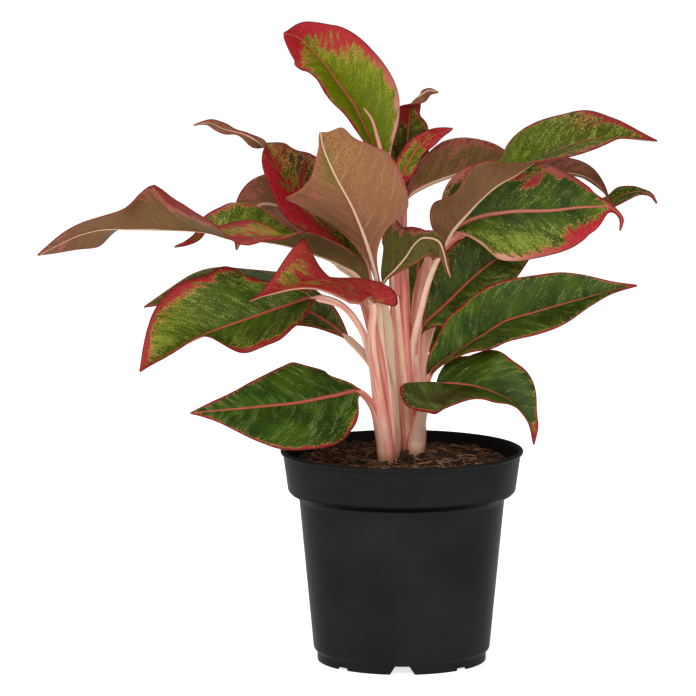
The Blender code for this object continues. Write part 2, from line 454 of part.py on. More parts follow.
def smooth(keys, values, at):
    """A smooth line through the values at the rising keys, read at the places in at."""
    keys = np.asarray(keys, float)
    values = np.asarray(values, float)
    gaps = np.diff(keys)
    slopes = np.diff(values, axis=0) / gaps.reshape(-1, *[1] * (values.ndim - 1))
    lean = np.zeros_like(values)
    lean[0], lean[-1] = slopes[0], slopes[-1]
    for i in range(1, len(keys) - 1):
        lean[i] = (slopes[i] * gaps[i - 1] + slopes[i - 1] * gaps[i]) / (gaps[i - 1] + gaps[i])
    at = np.clip(np.asarray(at, float), keys[0], keys[-1])
    n = np.clip(np.searchsorted(keys, at, side="right") - 1, 0, len(gaps) - 1)
    step = gaps[n]
    t = (at - keys[n]) / step
    if values.ndim > 1:
        t, step = t[:, None], step[:, None]
    return ((2 * t**3 - 3 * t**2 + 1) * values[n] + (t**3 - 2 * t**2 + t) * step * lean[n]
            + (3 * t**2 - 2 * t**3) * values[n + 1] + (t**3 - t**2) * step * lean[n + 1])


def lengths(points):
    """How far along a line each of its points lies."""
    return np.concatenate([[0], np.cumsum(np.linalg.norm(np.diff(points, axis=0), axis=1))])


def blade_points(leaf, order, rows, columns):
    """The middle surface of a blade as rows of points, from its base to its tip."""
    points = np.asarray(leaf["line"], float)
    keys = lengths(points)
    start = keys[leaf["stalk"]]
    s = np.linspace(0, 1, rows + 1)
    here = start + s * (keys[-1] - start)
    middle = smooth(keys, points, here)
    ahead = (smooth(keys, points, np.clip(here + 0.5, 0, keys[-1]))
             - smooth(keys, points, np.clip(here - 0.5, 0, keys[-1])))
    ahead /= np.linalg.norm(ahead, axis=1)[:, None]
    face = np.asarray(leaf.get("ref", (0, -1, 0)), float)
    across = face - (ahead @ face)[:, None] * ahead
    across /= np.linalg.norm(across, axis=1)[:, None]
    rise = np.cross(ahead, across) * leaf["side"]
    turns = np.asarray(leaf["turns"], float)
    wide = np.asarray(leaf["wide"], float)
    sweep = np.asarray(leaf.get("sweep", [(0, 0, 0), (1, 0, 0)]), float)
    angles = np.radians(smooth(turns[:, 0], turns[:, 1:], s))
    least = 0.9 * np.exp(-s * 12) + 0.35
    body = (s**0.6) * (1 - s) / 0.509
    place = np.zeros((rows + 1, 2 * columns + 1, 3))
    place[:, columns] = middle
    for half in (0, 1):
        sign = 1 if half == 0 else -1
        angle = angles[:, half]
        width = np.maximum(smooth(wide[:, 0], wide[:, 1 + half], s), least)
        forward = smooth(sweep[:, 0], sweep[:, 1 + half], s) * width
        out = np.cos(angle)[:, None] * across + np.sin(angle)[:, None] * rise
        up = np.cos(angle)[:, None] * rise - np.sin(angle)[:, None] * across
        wave = leaf.get("ripple", 1) * EDGE_WAVE * np.sqrt(body) * np.sin(
            2 * math.pi * EDGE_WAVES * s + 1.7 * order + 2.1 * half)
        for j in range(1, columns + 1):
            u = j / columns
            place[:, columns - j if half == 0 else columns + j] = (
                middle + out * (width * u)[:, None] + up * (sign * wave * u**2)[:, None]
                + ahead * (forward * u**1.3)[:, None])
    return place


def build_pot(parts, cutters):
    """The pot: a turned shell with a notched foot ring and drain slots in its raised floor."""
    shell = [
        (0, WALL), (PAD_R - 0.8, WALL), (PAD_R + 3.4, FLOOR_Z + WALL), (BODY_LOW_R - WALL - 1.6, FLOOR_Z + WALL),
        (BODY_LOW_R - WALL, 8.2), (BODY_TOP_R - WALL, BODY_TOP_Z + 0.8), (BODY_TOP_R - WALL + 1.0, 83.6),
        (BAND_LOW_R - WALL - 1.5, 85.5), (BAND_LOW_R - WALL, BAND_LOW_Z + 1.6), (BAND_TOP_R - WALL, POT_HEIGHT - 1.6),
        (POT_LIP_R - 2.0, POT_HEIGHT), (POT_LIP_R - 0.8, POT_HEIGHT), (POT_LIP_R - 0.1, POT_HEIGHT - 0.6),
        (POT_LIP_R, POT_HEIGHT - 1.6), (POT_LIP_R - 0.5, POT_HEIGHT - 2.6), (BAND_TOP_R, POT_HEIGHT - 3.2),
        (BAND_LOW_R, BAND_LOW_Z), (BAND_LOW_R - 0.5, 84.4), (BAND_LOW_R - 1.6, 83.7), (BODY_TOP_R + 2.0, 82.9),
        (BODY_TOP_R + 0.6, 81.9), (BODY_TOP_R, BODY_TOP_Z), (BODY_LOW_R, BODY_LOW_Z), (FOOT_R, FOOT_STEP_Z),
        (FOOT_R, 0), (FOOT_R - FOOT_WALL, 0), (FOOT_R - FOOT_WALL, FLOOR_Z), (PAD_R + 4.3, FLOOR_Z), (PAD_R, 0),
        (0, 0),
    ]
    pot = turn(add_part("pot", profile_mesh("pot", shell), parts, "pot"), POT_SIDES)
    for k in range(NOTCH_COUNT):
        full = k % (NOTCH_COUNT // 2) == 0
        wide, high = (NOTCH_WIDE, NOTCH_HIGH) if full else NOTCH_LOW
        notch = block_mesh("notch", (8, wide, high + 2), NOTCH_NARROW / NOTCH_WIDE if full else 0.9)
        around(add_cutter("notch", notch, cutters), FOOT_R, high / 2 - 1, math.radians(-90 + 360 / NOTCH_COUNT * k))
    for k in range(SLOT_COUNT):
        slot = block_mesh("slot", (SLOT_LONG, SLOT_WIDE, 8))
        around(add_cutter("slot", slot, cutters), SLOT_R, FLOOR_Z, math.radians(-67.5 + 360 / SLOT_COUNT * k))
    join_or_cut(pot, "DIFFERENCE", cutters)
    pot.data.shade_smooth()
    pot.data.set_sharp_from_angle(angle=math.radians(35))


def soil_height(x, y):
    """Height of the lumpy soil: a little higher at the back and round the shoots."""
    r = math.hypot(x, y)
    lumps = (0.9 * math.sin(0.21 * x + 1.1) * math.cos(0.17 * y - 0.4) + 0.6 * math.sin(0.47 * x - 0.9 + 0.3 * y)
             + 0.35 * math.cos(0.9 * y + 0.5 * x))
    mound = 1.6 * math.exp(-((x - 0.5)**2 + (y - 8)**2) / 500.0)
    return SOIL_TOP_Z + mound + 0.02 * y + lumps * (1 - 0.6 * r / 54) - 1.4 * (r / 54)**6


def build_soil(parts, cutters):
    """The soil: a turned lump that fills the pot, its top uneven, with a plain hole for each shoot."""
    edge = BAND_LOW_R - WALL - GAP + 0.6
    lump = [
        (0, SOIL_TOP_Z), (8, SOIL_TOP_Z), (17, SOIL_TOP_Z), (26, SOIL_TOP_Z), (35, SOIL_TOP_Z), (44, SOIL_TOP_Z),
        (50.5, SOIL_TOP_Z), (edge, SOIL_TOP_Z), (edge - 0.8, 88.2), (BAND_LOW_R - WALL - 2.3, 86.4),
        (BODY_TOP_R - WALL + 0.3, 84.4), (BODY_TOP_R - WALL - GAP - 0.15, BODY_TOP_Z + 0.9),
        (BODY_LOW_R - WALL - GAP - 0.15, 9.0), (BODY_LOW_R - WALL - 2.2, SOIL_LOW_Z), (0, SOIL_LOW_Z),
    ]
    soil = turn(add_part("soil", profile_mesh("soil", lump), parts, "soil"), SOIL_SIDES)
    shape = bmesh.new()
    shape.from_mesh(soil.data)
    for corner in shape.verts:
        if corner.co.z > (SOIL_TOP_Z - 0.01) * MM:
            corner.co.z = soil_height(corner.co.x / MM, corner.co.y / MM) * MM
    bmesh.ops.triangulate(shape, faces=shape.faces)
    shape.to_mesh(soil.data)
    shape.free()
    for name, cane in CANES.items():
        x, y, z, r = cane[0]
        top = cane[2]
        hole = [(x, y, z - GAP, r + 0.5), (x, y, 98, r + 0.6), (top[0], top[1], 108, top[3] + 0.7)]
        add_cutter("hole", tube_mesh("hole", hole, 6), cutters)
    join_or_cut(soil, "DIFFERENCE", cutters)


def build_shoot(name, parts, cutters):
    """One shoot: a cane with the stalks of its leaves grown into one body."""
    shoot = add_part(name, tube_mesh(name, CANES[name], 5), parts, name)
    for leaf_name, leaf in LEAVES.items():
        points = np.asarray(leaf["line"], float)
        if (points[0][0] < 0) != (name == "shoot_left"):
            continue
        keys = lengths(points)
        along = np.linspace(0, 1, STALK_POINTS)
        line = smooth(keys, points, along * (keys[leaf["stalk"]] - STALK_GAP))
        stalk = [(*p, STALK_R_LOW + (STALK_R_TOP - STALK_R_LOW) * t) for p, t in zip(line, along)]
        add_cutter("stalk", tube_mesh("stalk", stalk, 2), cutters)
    if name == "shoot_right":
        add_cutter("spike", tube_mesh("spike", SPIKE, 2), cutters)
    join_or_cut(shoot, "UNION", cutters)
    shoot.data.shade_smooth()
    shoot.data.set_sharp_from_angle(angle=math.radians(50))


def build_leaves(parts):
    """Every leaf blade: a grid bent to the leaf's form and given its thickness."""
    for order, (name, leaf) in enumerate(LEAVES.items()):
        rows = leaf["rows"]
        place = blade_points(leaf, order, rows, COLUMNS)
        mesh = bpy.data.meshes.new(name)
        shape = bmesh.new()
        bmesh.ops.create_grid(shape, x_segments=2 * COLUMNS, y_segments=rows, size=1.0)
        ribs = []
        for corner in shape.verts:
            column = round((corner.co.x + 1) * COLUMNS)
            row = round((corner.co.y + 1) / 2 * rows)
            corner.co = place[row, column] * MM
            if column == COLUMNS and 0 < row < rows:
                ribs.append(corner.index)
        bmesh.ops.triangulate(shape, faces=shape.faces, quad_method="FIXED")
        shape.to_mesh(mesh)
        shape.free()
        blade = add_part(name, mesh, parts, "leaf")
        thick = blade.vertex_groups.new(name="thickness")
        thick.add(list(range(len(mesh.vertices))), BLADE_THICK / RIB_THICK, "REPLACE")
        thick.add(ribs, 1.0, "REPLACE")
        sheet = blade.modifiers.new("sheet", "SOLIDIFY")
        sheet.thickness = RIB_THICK * MM
        sheet.offset = 0.0
        sheet.vertex_group = "thickness"
        mesh.shade_smooth()


def main():
    for old in list(bpy.data.objects):
        bpy.data.objects.remove(old)
    parts = collection("potted_philippine_evergreen")
    cutters = collection("cutters")
    parts.objects.link(bpy.data.objects.new("plant_base", None))
    build_pot(parts, cutters)
    build_soil(parts, cutters)
    for name in CANES:
        build_shoot(name, parts, cutters)
    build_leaves(parts)


main()
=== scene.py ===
"""A potted philippine evergreen: leafy plant, coco peat and nursery pot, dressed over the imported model.

The blades, stalks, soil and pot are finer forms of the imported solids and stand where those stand.
Lengths in the tables are millimetres; the tables hold the values of the solids' source.
"""

import json
import math
import random

import bmesh
import bpy
import numpy as np
from bpy.props import FloatProperty, FloatVectorProperty, IntProperty, PointerProperty
from mathutils import Matrix, Vector, noise

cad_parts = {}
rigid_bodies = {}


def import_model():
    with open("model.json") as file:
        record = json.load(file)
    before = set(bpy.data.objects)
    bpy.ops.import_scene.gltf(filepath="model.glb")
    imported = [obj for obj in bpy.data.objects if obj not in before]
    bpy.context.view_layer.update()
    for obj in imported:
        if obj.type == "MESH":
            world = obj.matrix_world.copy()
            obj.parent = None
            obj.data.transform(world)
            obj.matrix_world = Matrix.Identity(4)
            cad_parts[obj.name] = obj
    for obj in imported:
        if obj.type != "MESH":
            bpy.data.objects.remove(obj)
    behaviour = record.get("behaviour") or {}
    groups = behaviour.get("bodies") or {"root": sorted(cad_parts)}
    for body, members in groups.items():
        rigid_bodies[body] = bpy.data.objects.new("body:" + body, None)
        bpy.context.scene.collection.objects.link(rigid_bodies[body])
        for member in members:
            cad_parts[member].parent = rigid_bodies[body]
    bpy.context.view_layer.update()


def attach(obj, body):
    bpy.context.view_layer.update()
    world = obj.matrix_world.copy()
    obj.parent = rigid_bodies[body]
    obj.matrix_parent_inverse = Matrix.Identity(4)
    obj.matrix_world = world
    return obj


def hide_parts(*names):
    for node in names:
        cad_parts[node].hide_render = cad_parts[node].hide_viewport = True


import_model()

bl_info = {
    "name": "Potted philippine evergreen",
    "version": (1, 0, 0),
    "blender": (4, 5, 0),
    "location": "3D View > Sidebar > Evergreen",
    "description": "Builds a potted red and green foliage plant over its packed solids",
    "category": "Add Mesh",
}

MM = 0.001
SOFT = {"interpolation_type": "SMOOTHSTEP"}     # a map range with soft ends
TINT = {"data_type": "RGBA"}                    # a mix of two colours

# the pot
POT_LIP_R = 60.0          # outer radius of the lip
POT_HEIGHT = 105.5        # height of the lip above the ground
BAND_TOP_R = 58.5         # rim band, top and bottom
BAND_LOW_R = 56.2
BAND_LOW_Z = 85.2
BODY_TOP_R = 50.7         # tapered body, top and bottom
BODY_TOP_Z = 80.4
STEP_Z = BAND_LOW_Z - 1.2   # height of the dark painted shade on the step under the band
BODY_LOW_R = 43.6
BODY_LOW_Z = 6.2
FOOT_R = 41.8             # foot ring
FOOT_STEP_Z = 4.6
FOOT_WALL = 1.6
WALL = 1.2
FLOOR_Z = 4.3             # underside of the raised floor
PAD_R = 12.5              # round pad in the middle that also stands on the ground
NOTCH_COUNT = 8           # gaps in the foot ring that let water out
NOTCH_WIDE = 15.0         # the front and rear ones are wide and high, the others low
NOTCH_NARROW = 7.0
NOTCH_HIGH = 4.2
NOTCH_LOW = (7.5, 1.4)    # width and height of the low ones
SLOT_COUNT = 8            # drain slots in the floor
SLOT_WIDE = 3.0
SLOT_LONG = 12.0
SLOT_R = 29.0
BEAD_R = 1.1              # the rolled lip
EDGE_ROUND = 0.9          # radius of the moulded edges
POT_SHARP = 28            # edges that turn by more degrees than this look sharp

# the soil
GAP = 0.35                # air left between pieces that touch
SOIL_LOW_Z = 5.85
SOIL_TOP_Z = 98.6
SOIL_R = 54.0             # radius of the ground that crumbs and fibres lie on
SOIL_SEED = 41            # start of the random draws
SOIL_RINGS = 46           # rings of points on its top
SOIL_SIDES = 128
STRAW_EVERY = 60          # one fibre in so many is a stiff straw
STRAW_LONG = 24.0
FIBRE_POINTS = 9

# the canes: points of the centre line, each with its radius
CANES = {
    "shoot_left": [(-4.6, 0, 84, 4.2), (-4.7, 0, 97, 4.3), (-5.4, 0, 106, 4.9), (-6.6, -1, 120, 5.5),
                   (-8.2, -2, 134, 5.4), (-10.4, -3, 150, 4.2)],
    "shoot_right": [(4.4, 15, 84, 4.2), (4.4, 15, 98, 4.3), (4.9, 16, 107, 4.9), (5.4, 17, 119, 5.7),
                    (5.2, 18, 132, 5.6), (4.6, 18, 150, 4.2)],
}
SPIKE = [(-2, 13, 180, 1.7), (-4, 9, 214, 1.5), (-6.5, 7, 229, 1.3), (-10.4, 8, 252, 1.0), (-12.6, 9, 260.5, 0.8),
         (-15.2, 9, 268.5, 0.6), (-18.8, 9, 273.5, 0.35)]

EDGE_WAVE = 0.8           # height and number of the gentle waves along a margin
EDGE_WAVES = 3
ROW_CROWDING = 0.35       # how much closer a blade's rows lie at its ends
COLUMN_CROWDING = 1.4     # and its columns near the midrib
CROWN = 0.06              # how far each half bulges, as a share of its width
VEIN_LEAN = 0.75          # side veins lean forwards by this for each millimetre outwards
VEIN_BEND = 0.012         # and by this for its square
RIDGE_HALF = 1.15         # half the width of the midrib's relief
QUILT = 0.16              # depth of the dips along the side veins
SEED_STEP = 31.7          # sets the noise of one leaf apart from the next
WIDE_FIRST = (0, 1.2, 1.2)    # a blade's width where it starts and ends, unless its own row says otherwise
WIDE_LAST = (1, 0.4, 0.4)

# the stalks
TUBE_ROWS = 60            # rings of points along a cane or the rolled leaf
STALK_ROWS = 54
STALK_HALF = 1.75         # half the width and depth of a stalk away from its sheath
STALK_DEEP = 1.45
STALK_INTO_BLADE = 3.0    # how far a stalk runs on into its blade
STALK_LOW_Z = 94.0        # its sheath starts here, under the top of the soil
STALK_SMOOTHING = 12      # times the bend at the top of the sheath is evened out
CANE_SLIM = 0.86          # the cane inside the sheaths is a little thinner than its solid
STAIN_TOP_Z = 106.0       # the brown stain of the soil ends here
STAIN_REACH = 7.0

# One entry a leaf. line runs from the cane to the leaf's tip and the blade starts at point number
# stalk. turns gives, along the blade, the angles of the near and the far half about the line. wide
# gives the widths of the two halves, and sweep how far their margins lean forwards for that width. The
# rows of wide stand between WIDE_FIRST and WIDE_LAST, unless they hold a start or an end of their own.
LEAVES = {
    # the tall leaf at the very top
    "leaf_top": dict(
        side=1, stalk=4, ripple=0.2,
        line=[(4, 16, 106), (0.6, 16, 125), (-2.6, 17, 155), (-4.8, 18, 190), (-5, 20, 230), (-13, 22, 250),
              (-19, 24, 263), (-25, 26, 275), (-31, 27, 283), (-38, 27, 293), (-45, 26, 301), (-51, 22, 307),
              (-58, 14, 310)],
        turns=[(0, -5, 70), (0.3, -12, 85), (0.45, -17, 88), (0.6, -19, 88), (0.7, -20, 88), (0.8, -32, 88),
               (0.9, -50, 88), (1, -65, 85)],
        wide=[(0.1, 2.6, 3.5), (0.2, 7, 8.5), (0.3, 13.6, 17), (0.4, 17.6, 22), (0.5, 20.4, 24), (0.6, 20.4, 24),
              (0.7, 19, 22), (0.8, 17.4, 17.5), (0.9, 13.9, 9.5), (0.95, 12.2, 5), (1, 2.2, 0.4)]),
    # a narrow leaf behind it with a curled tip
    "leaf_top_back": dict(
        side=1, stalk=2,
        line=[(5.5, 18, 106), (1.5, 24, 180), (1, 29, 228), (2.5, 33, 249), (3.6, 34, 263), (4.6, 33, 271.5),
              (10, 29, 278), (14, 25, 280.5), (18, 22, 280)],
        turns=[(0, -50, 55), (0.55, -50, 55), (0.7, -40, 60), (0.82, 50, 220), (1, 60, 250)],
        wide=[(0.2, 11, 11), (0.4, 13, 13), (0.55, 13, 12), (0.65, 11, 8), (0.73, 6, 4), (0.85, 4, 2),
              (0.93, 2.5, 1.2)]),
    # a small young leaf in front of it
    "leaf_small_young": dict(
        side=-1, stalk=2,
        line=[(5, 15, 106), (-2.5, 14, 180), (-5, 11, 227.4), (1, 13, 241.5), (7, 15.5, 252), (15, 17.5, 258.5),
              (25, 18.5, 262.5)],
        turns=[(0, -50, 80), (1, -50, 80)],
        wide=[(0.15, 4, 5), (0.3, 5.5, 6), (0.5, 5.5, 6), (0.7, 5, 5), (0.8, 4.3, 4), (0.9, 2.6, 2.5)]),
    # a short broad leaf up on the right, behind
    "leaf_right_high_back": dict(
        side=-1, stalk=2,
        line=[(6, 15, 106), (1, 13, 180), (2.5, 14, 229), (12, 19, 234), (24, 23, 238), (36, 27, 241.3),
              (47, 31, 244.3), (56, 34, 245.4)],
        turns=[(0, 60, 160), (0.5, 84, 168), (1, 90, 168)],
        wide=[(0.1, 9, 4), (0.2, 13.5, 6), (0.35, 17.5, 8), (0.5, 18, 10), (0.65, 16.2, 11), (0.8, 11.5, 10),
              (0.92, 5.5, 5)]),
    # the upright leaf in the middle, its underside to the front
    "leaf_middle_tall": dict(
        side=1, stalk=3, ref=(1, 0, 0),
        line=[(-6, -2, 104), (-7, -4, 129), (-11, -8, 165), (-12, -13, 189), (-16.4, -23, 207.6), (-24, -31, 228.6),
              (-34.4, -34, 249), (-39, -35, 261), (-40, -34, 266.6)],
        turns=[(0, 20, 150), (0.3, 12, 168), (0.7, 8, 172), (1, 10, 170)],
        wide=[(0.1, 1.5, 2.4), (0.2, 4, 6.6), (0.3, 11, 12.8), (0.37, 17.5, 16.8), (0.42, 24, 19.8),
              (0.5, 27.4, 24.5), (0.6, 28.4, 27.6), (0.67, 28.2, 19), (0.75, 26.2, 10.6), (0.83, 20.6, 5.8),
              (0.92, 15.6, 1.9), (0.97, 8.6, 1.2)],
        sweep=[(0, 0, 0.8), (0.1, 0.2, 1.3), (0.2, 0.6, 0.97), (0.3, 0.22, 0.7), (0.37, -0.06, 0.63),
               (0.42, -0.1, 0.58), (0.5, 0, 0.5), (0.6, 0, 0.45), (0.75, 0, 0.37), (0.83, 0, 0.5), (0.92, 0, 0.6),
               (0.97, 0.4, 0.3), (1, 0, 0)]),
    # the upper left leaf with a long twisted tip
    "leaf_left_high": dict(
        side=1, stalk=3,
        line=[(-5, 6, 104), (-7, 4, 129), (-12, 2, 163), (-20.7, 8, 196.1), (-35.5, 12, 211.4), (-50.4, 13, 227.3),
              (-60.4, 13, 242), (-68, 20, 254), (-77, 26, 258.6), (-88, 30, 261.3), (-95, 31, 264),
              (-103, 32, 262.6)],
        turns=[(0, -5, 65), (0.1, -2, 68), (0.2, -11, 74), (0.3, -24, 76), (0.5, -20, 78), (0.6, -11, 83),
               (0.68, 40, 170), (0.76, 90, 255), (0.88, 60, 240), (1, 90, 260)],
        wide=[(0.1, 12, 12), (0.2, 17, 17), (0.3, 20, 21), (0.4, 20.5, 23), (0.5, 18, 19.5), (0.6, 11, 10),
              (0.66, 4, 8), (0.69, 2.4, 9.4), (0.72, 1.6, 7.4), (0.76, 1.2, 3.4), (0.81, 1.2, 1.8),
              (0.86, 3.2, 3.6), (0.91, 2.4, 3.2), (0.95, 1.2, 1.2)]),
    # the long trough of a leaf that reaches furthest to the left
    "leaf_left_long": dict(
        side=1, stalk=3,
        line=[(-7, -2, 104), (-8, -4, 129), (-13, -8, 165), (-17, -8, 187.3), (-23, -9, 194), (-32, -12, 200.1),
              (-42, -16, 204.7), (-55, -21, 209.7), (-69, -27, 213), (-83, -32, 214.5), (-94, -35, 218),
              (-113, -40, 220), (-130, -44, 220.6), (-146, -47, 221), (-158, -50, 218.2), (-169, -52, 213),
              (-176.5, -54, 209.2)],
        turns=[(0, 70, 110), (0.055, 88, 120), (0.09, 50, 146), (0.13, 40, 157), (0.18, 33, 165), (0.25, 28, 168),
               (0.3, 24, 162), (0.351, 12, 161), (0.397, 8, 168), (0.44, 4, 178), (0.465, 5, 184), (0.5, 7, 180),
               (0.54, 16, 168), (0.577, 24, 157), (0.615, 37, 146), (0.635, 45, 138), (0.653, 58, 132),
               (0.67, 75, 145), (0.686, 75, 160), (0.712, 70, 180), (0.757, 46, 195), (0.8, 38, 218),
               (0.88, 36, 222), (1, 40, 222)],
        wide=[(0.055, 8, 8), (0.09, 11.5, 10), (0.13, 15, 12), (0.18, 19, 13), (0.25, 24, 15), (0.35, 26.5, 20),
              (0.45, 27.5, 25), (0.55, 27, 27), (0.615, 25.5, 25), (0.65, 24, 23), (0.69, 22, 20), (0.71, 19.5, 19),
              (0.757, 16, 18.5), (0.8, 12.5, 16), (0.88, 8.5, 11.5), (0.95, 4.4, 5.5)]),
    # the green leaf behind it
    "leaf_left_green": dict(
        side=1, stalk=3,
        line=[(-5, 5, 104), (-6, 8, 140), (-12, 14, 180), (-33, 18, 196), (-45.6, 18, 204.6), (-57, 16, 215),
              (-65, 13, 221.6), (-73, 9, 225.6), (-82, 4, 226.4), (-89.4, 0, 224.4), (-94.6, -2, 222),
              (-98.6, -5, 218.4), (-101, -8, 213), (-105.6, -11, 209.8), (-111.5, -12, 207.5)],
        turns=[(0, -20, 170), (0.3, -35, 190), (0.5, -45, 200), (0.65, -60, 150), (0.75, -80, 100),
               (0.85, -80, 110), (1, -80, 100)],
        wide=[(0.1, 5, 8), (0.2, 8, 12), (0.3, 12, 15), (0.4, 14, 16), (0.5, 15, 13), (0.6, 15.6, 3.6),
              (0.68, 13, 1.2), (0.75, 10, 1.2), (0.82, 5, 1.2), (0.9, 2.6, 1.2)]),
    # the red leaf with one corner drawn up
    "leaf_left_red": dict(
        side=1, stalk=3,
        line=[(-7, -4, 104), (-11, -9, 130), (-15, -16, 166), (-14.6, -21, 181), (-24.5, -30, 189.6),
              (-39, -41, 195), (-56.8, -50, 193.2), (-74, -56, 187)],
        turns=[(0, 60, 95), (0.03, 55, 82), (0.08, 30, 84), (0.15, 8, 128), (0.2, -4, 165), (0.3, -13, 185),
               (0.35, -15, 183), (0.4, -16, 164), (0.45, -13, 140), (0.5, -11, 112), (0.6, -6.5, 100),
               (0.7, -4, 100), (0.8, -1, 100), (1, 5, 100)],
        wide=[(0.03, 2, 6), (0.08, 3.6, 9.5), (0.15, 7, 9), (0.2, 11, 10), (0.3, 18, 12), (0.4, 22, 18),
              (0.45, 23.6, 20.5), (0.5, 23, 21.2), (0.6, 21, 17), (0.7, 18, 11.2), (0.8, 13, 6), (0.9, 7, 2.2)],
        sweep=[(0, 0, -0.2), (0.03, -0.3, -1.5), (0.08, -0.3, -1.35), (0.15, -0.2, -0.75), (0.2, -0.1, -0.25),
               (0.3, 0, 0), (1, 0, 0)]),
    # the broad green leaf on the left
    "leaf_left_low": dict(
        side=1, stalk=5,
        line=[(-6, 0, 104), (-12, -4, 132), (-15.6, -6, 153.5), (-20.6, -7.5, 167.5), (-29.6, -9, 178.3),
              (-42.3, -10, 182), (-57.3, -14, 178.5), (-74.4, -20, 173.5), (-98.6, -28, 165.7), (-115.3, -36, 158),
              (-127.8, -42, 150.5)],
        turns=[(0, -25, 98), (0.1, -29, 98), (0.2, -32, 98), (0.3, -36, 98), (0.4, -33, 98), (0.5, -33, 98),
               (0.6, -14, 98), (0.65, 0, 98), (0.7, 8, 98), (0.8, 4, 98), (0.9, -6, 98), (1, -6, 98)],
        wide=[(0.1, 12, 8), (0.2, 18, 13.5), (0.3, 22, 20.5), (0.36, 22.5, 26.5), (0.42, 23, 28.5), (0.5, 22, 27),
              (0.6, 20, 28), (0.7, 17, 25.6), (0.8, 12, 20), (0.9, 6, 10.5)]),
    # the leaf behind it
    "leaf_left_low_back": dict(
        side=1, stalk=3,
        line=[(-5, 3, 104), (-7.5, 4, 129), (-13, 6, 144), (-27, 10, 159.5), (-40.7, 18, 168.5), (-60.7, 28, 175.5),
              (-90.8, 40, 178.5), (-128.8, 52, 168.8)],
        turns=[(0, -38, 140), (0.3, -38, 150), (0.6, -10, 155), (1, 0, 150)],
        wide=[(0.1, 6.5, 8), (0.2, 12, 15), (0.3, 17, 19), (0.4, 20, 22), (0.5, 21, 22.5), (0.6, 19, 22),
              (0.7, 16, 20.5), (0.8, 12, 17), (0.9, 7, 9.5)]),
    # the lowest leaf on the left
    "leaf_left_lowest": dict(
        side=1, stalk=3,
        line=[(-7, -3, 105), (-10, -5, 115), (-14, -8, 128), (-20, -12, 135.5), (-33, -22, 135.5), (-50, -34, 134),
              (-71, -46, 133.6), (-102.8, -58, 132.6)],
        turns=[(0, -55, 120), (1, -55, 120)],
        wide=[(0.03, 3.6, 2), (0.065, 7.6, 5), (0.11, 13.4, 9), (0.17, 20, 13.4), (0.28, 25.2, 18.6),
              (0.34, 26, 21), (0.42, 25.8, 20), (0.5, 25, 18), (0.59, 23, 15), (0.66, 20, 12.6), (0.735, 15.8, 9.8),
              (0.8, 11, 7.6), (0.87, 6, 5.2), (0.93, 3, 3)]),
    # the high arching leaf on the right
    "leaf_right_high": dict(
        side=-1, stalk=5,
        line=[(5, 16, 106), (3.6, 15, 138), (5.2, 15, 155), (9.6, 14, 174), (14.6, 12, 192), (20.7, 8, 205.6),
              (24.6, 5, 213.2), (31, 1, 221.7), (38.8, -3, 230.9), (46.4, -5, 237.6), (56, -6, 243.3),
              (62.9, -6, 247.9), (73.2, -5, 253.3), (84.1, -4, 257.5), (95, -2, 259.7), (103.9, 0, 260.1),
              (125.2, 4, 258)],
        turns=[(0, 70, 120), (0.074, 72, 140), (0.158, 58, 152), (0.257, 33, 165), (0.336, 40, 157),
               (0.424, 23, 150), (0.489, 8.5, 144), (0.58, -4, 140), (0.672, -13, 135), (0.76, -9, 127),
               (0.83, 5, 130), (1, 5, 130)],
        wide=[(0.074, 13, 9), (0.158, 20, 12), (0.257, 23, 13), (0.336, 24, 18), (0.42, 24, 22.4), (0.49, 23.5, 23),
              (0.58, 22, 22.5), (0.67, 18.5, 20), (0.76, 13.5, 16.8), (0.83, 9, 12), (0.92, 4, 5.3)]),
    # the broad leaf on the right with a hooked tip
    "leaf_right_broad": dict(
        side=-1, stalk=4,
        line=[(6, 18, 106), (6, 20, 150), (11, 22, 185), (17, 22, 205.5), (25, 21, 211.8), (36, 20, 217.5),
              (53, 16, 221.3), (73, 11, 222.6), (92.7, 5, 225.2), (103, 1, 225), (107.6, -2, 219.8),
              (107, -3, 214.4)],
        turns=[(0, -75, 90), (0.5, -80, 90), (0.8, -75, 90), (1, -70, 90)],
        wide=[(0.05, 6, 11), (0.133, 15.4, 20), (0.22, 22, 25), (0.32, 24.4, 25.5), (0.42, 24, 25.5),
              (0.53, 21.9, 23.6), (0.64, 19, 17.8), (0.74, 14, 10), (0.82, 7, 3.6), (0.88, 1.8, 1.4),
              (0.95, 1.1, 1.1)],
        sweep=[(0, 0, -0.4), (0.05, 0, -0.4), (0.133, 0, -0.4), (0.32, 0, -0.2), (0.5, 0, 0), (1, 0, 0)]),
    # two leaves behind it, only their tips seen from the front
    "leaf_right_back_upper": dict(
        side=-1, stalk=3,
        line=[(6, 19, 106), (6.5, 30, 150), (14, 37, 194), (38.9, 37, 214), (59, 38, 231), (79.6, 37, 239),
              (92.8, 36, 236.4), (100, 34, 230.4), (103, 33, 225.4)],
        turns=[(0, 40, 200), (1, 36, 204)],
        wide=[(0.1, 8, 8), (0.2, 12, 12), (0.35, 16, 16), (0.5, 16.5, 15), (0.6, 15.5, 12.6), (0.7, 13, 9),
              (0.8, 8.5, 6), (0.9, 4, 3.2)]),
    "leaf_right_back_lower": dict(
        side=-1, stalk=3,
        line=[(7, 20, 106), (8.4, 35, 150), (16, 43, 184), (34, 47, 201.7), (59, 51, 209.7), (84, 50, 217.4),
              (103.8, 46, 223), (111, 44, 226.4), (118.6, 42, 228.2), (124.2, 41, 226.6), (127.1, 40, 222.6)],
        turns=[(0, -30, 130), (1, -50, 110)],
        wide=[(0.1, 8, 6), (0.3, 12, 8), (0.5, 10, 6), (0.65, 6, 2.6), (0.72, 5, 3), (0.79, 4.6, 5),
              (0.85, 3.2, 3.6), (0.9, 1.8, 1.8), (0.95, 1.1, 1.1)]),
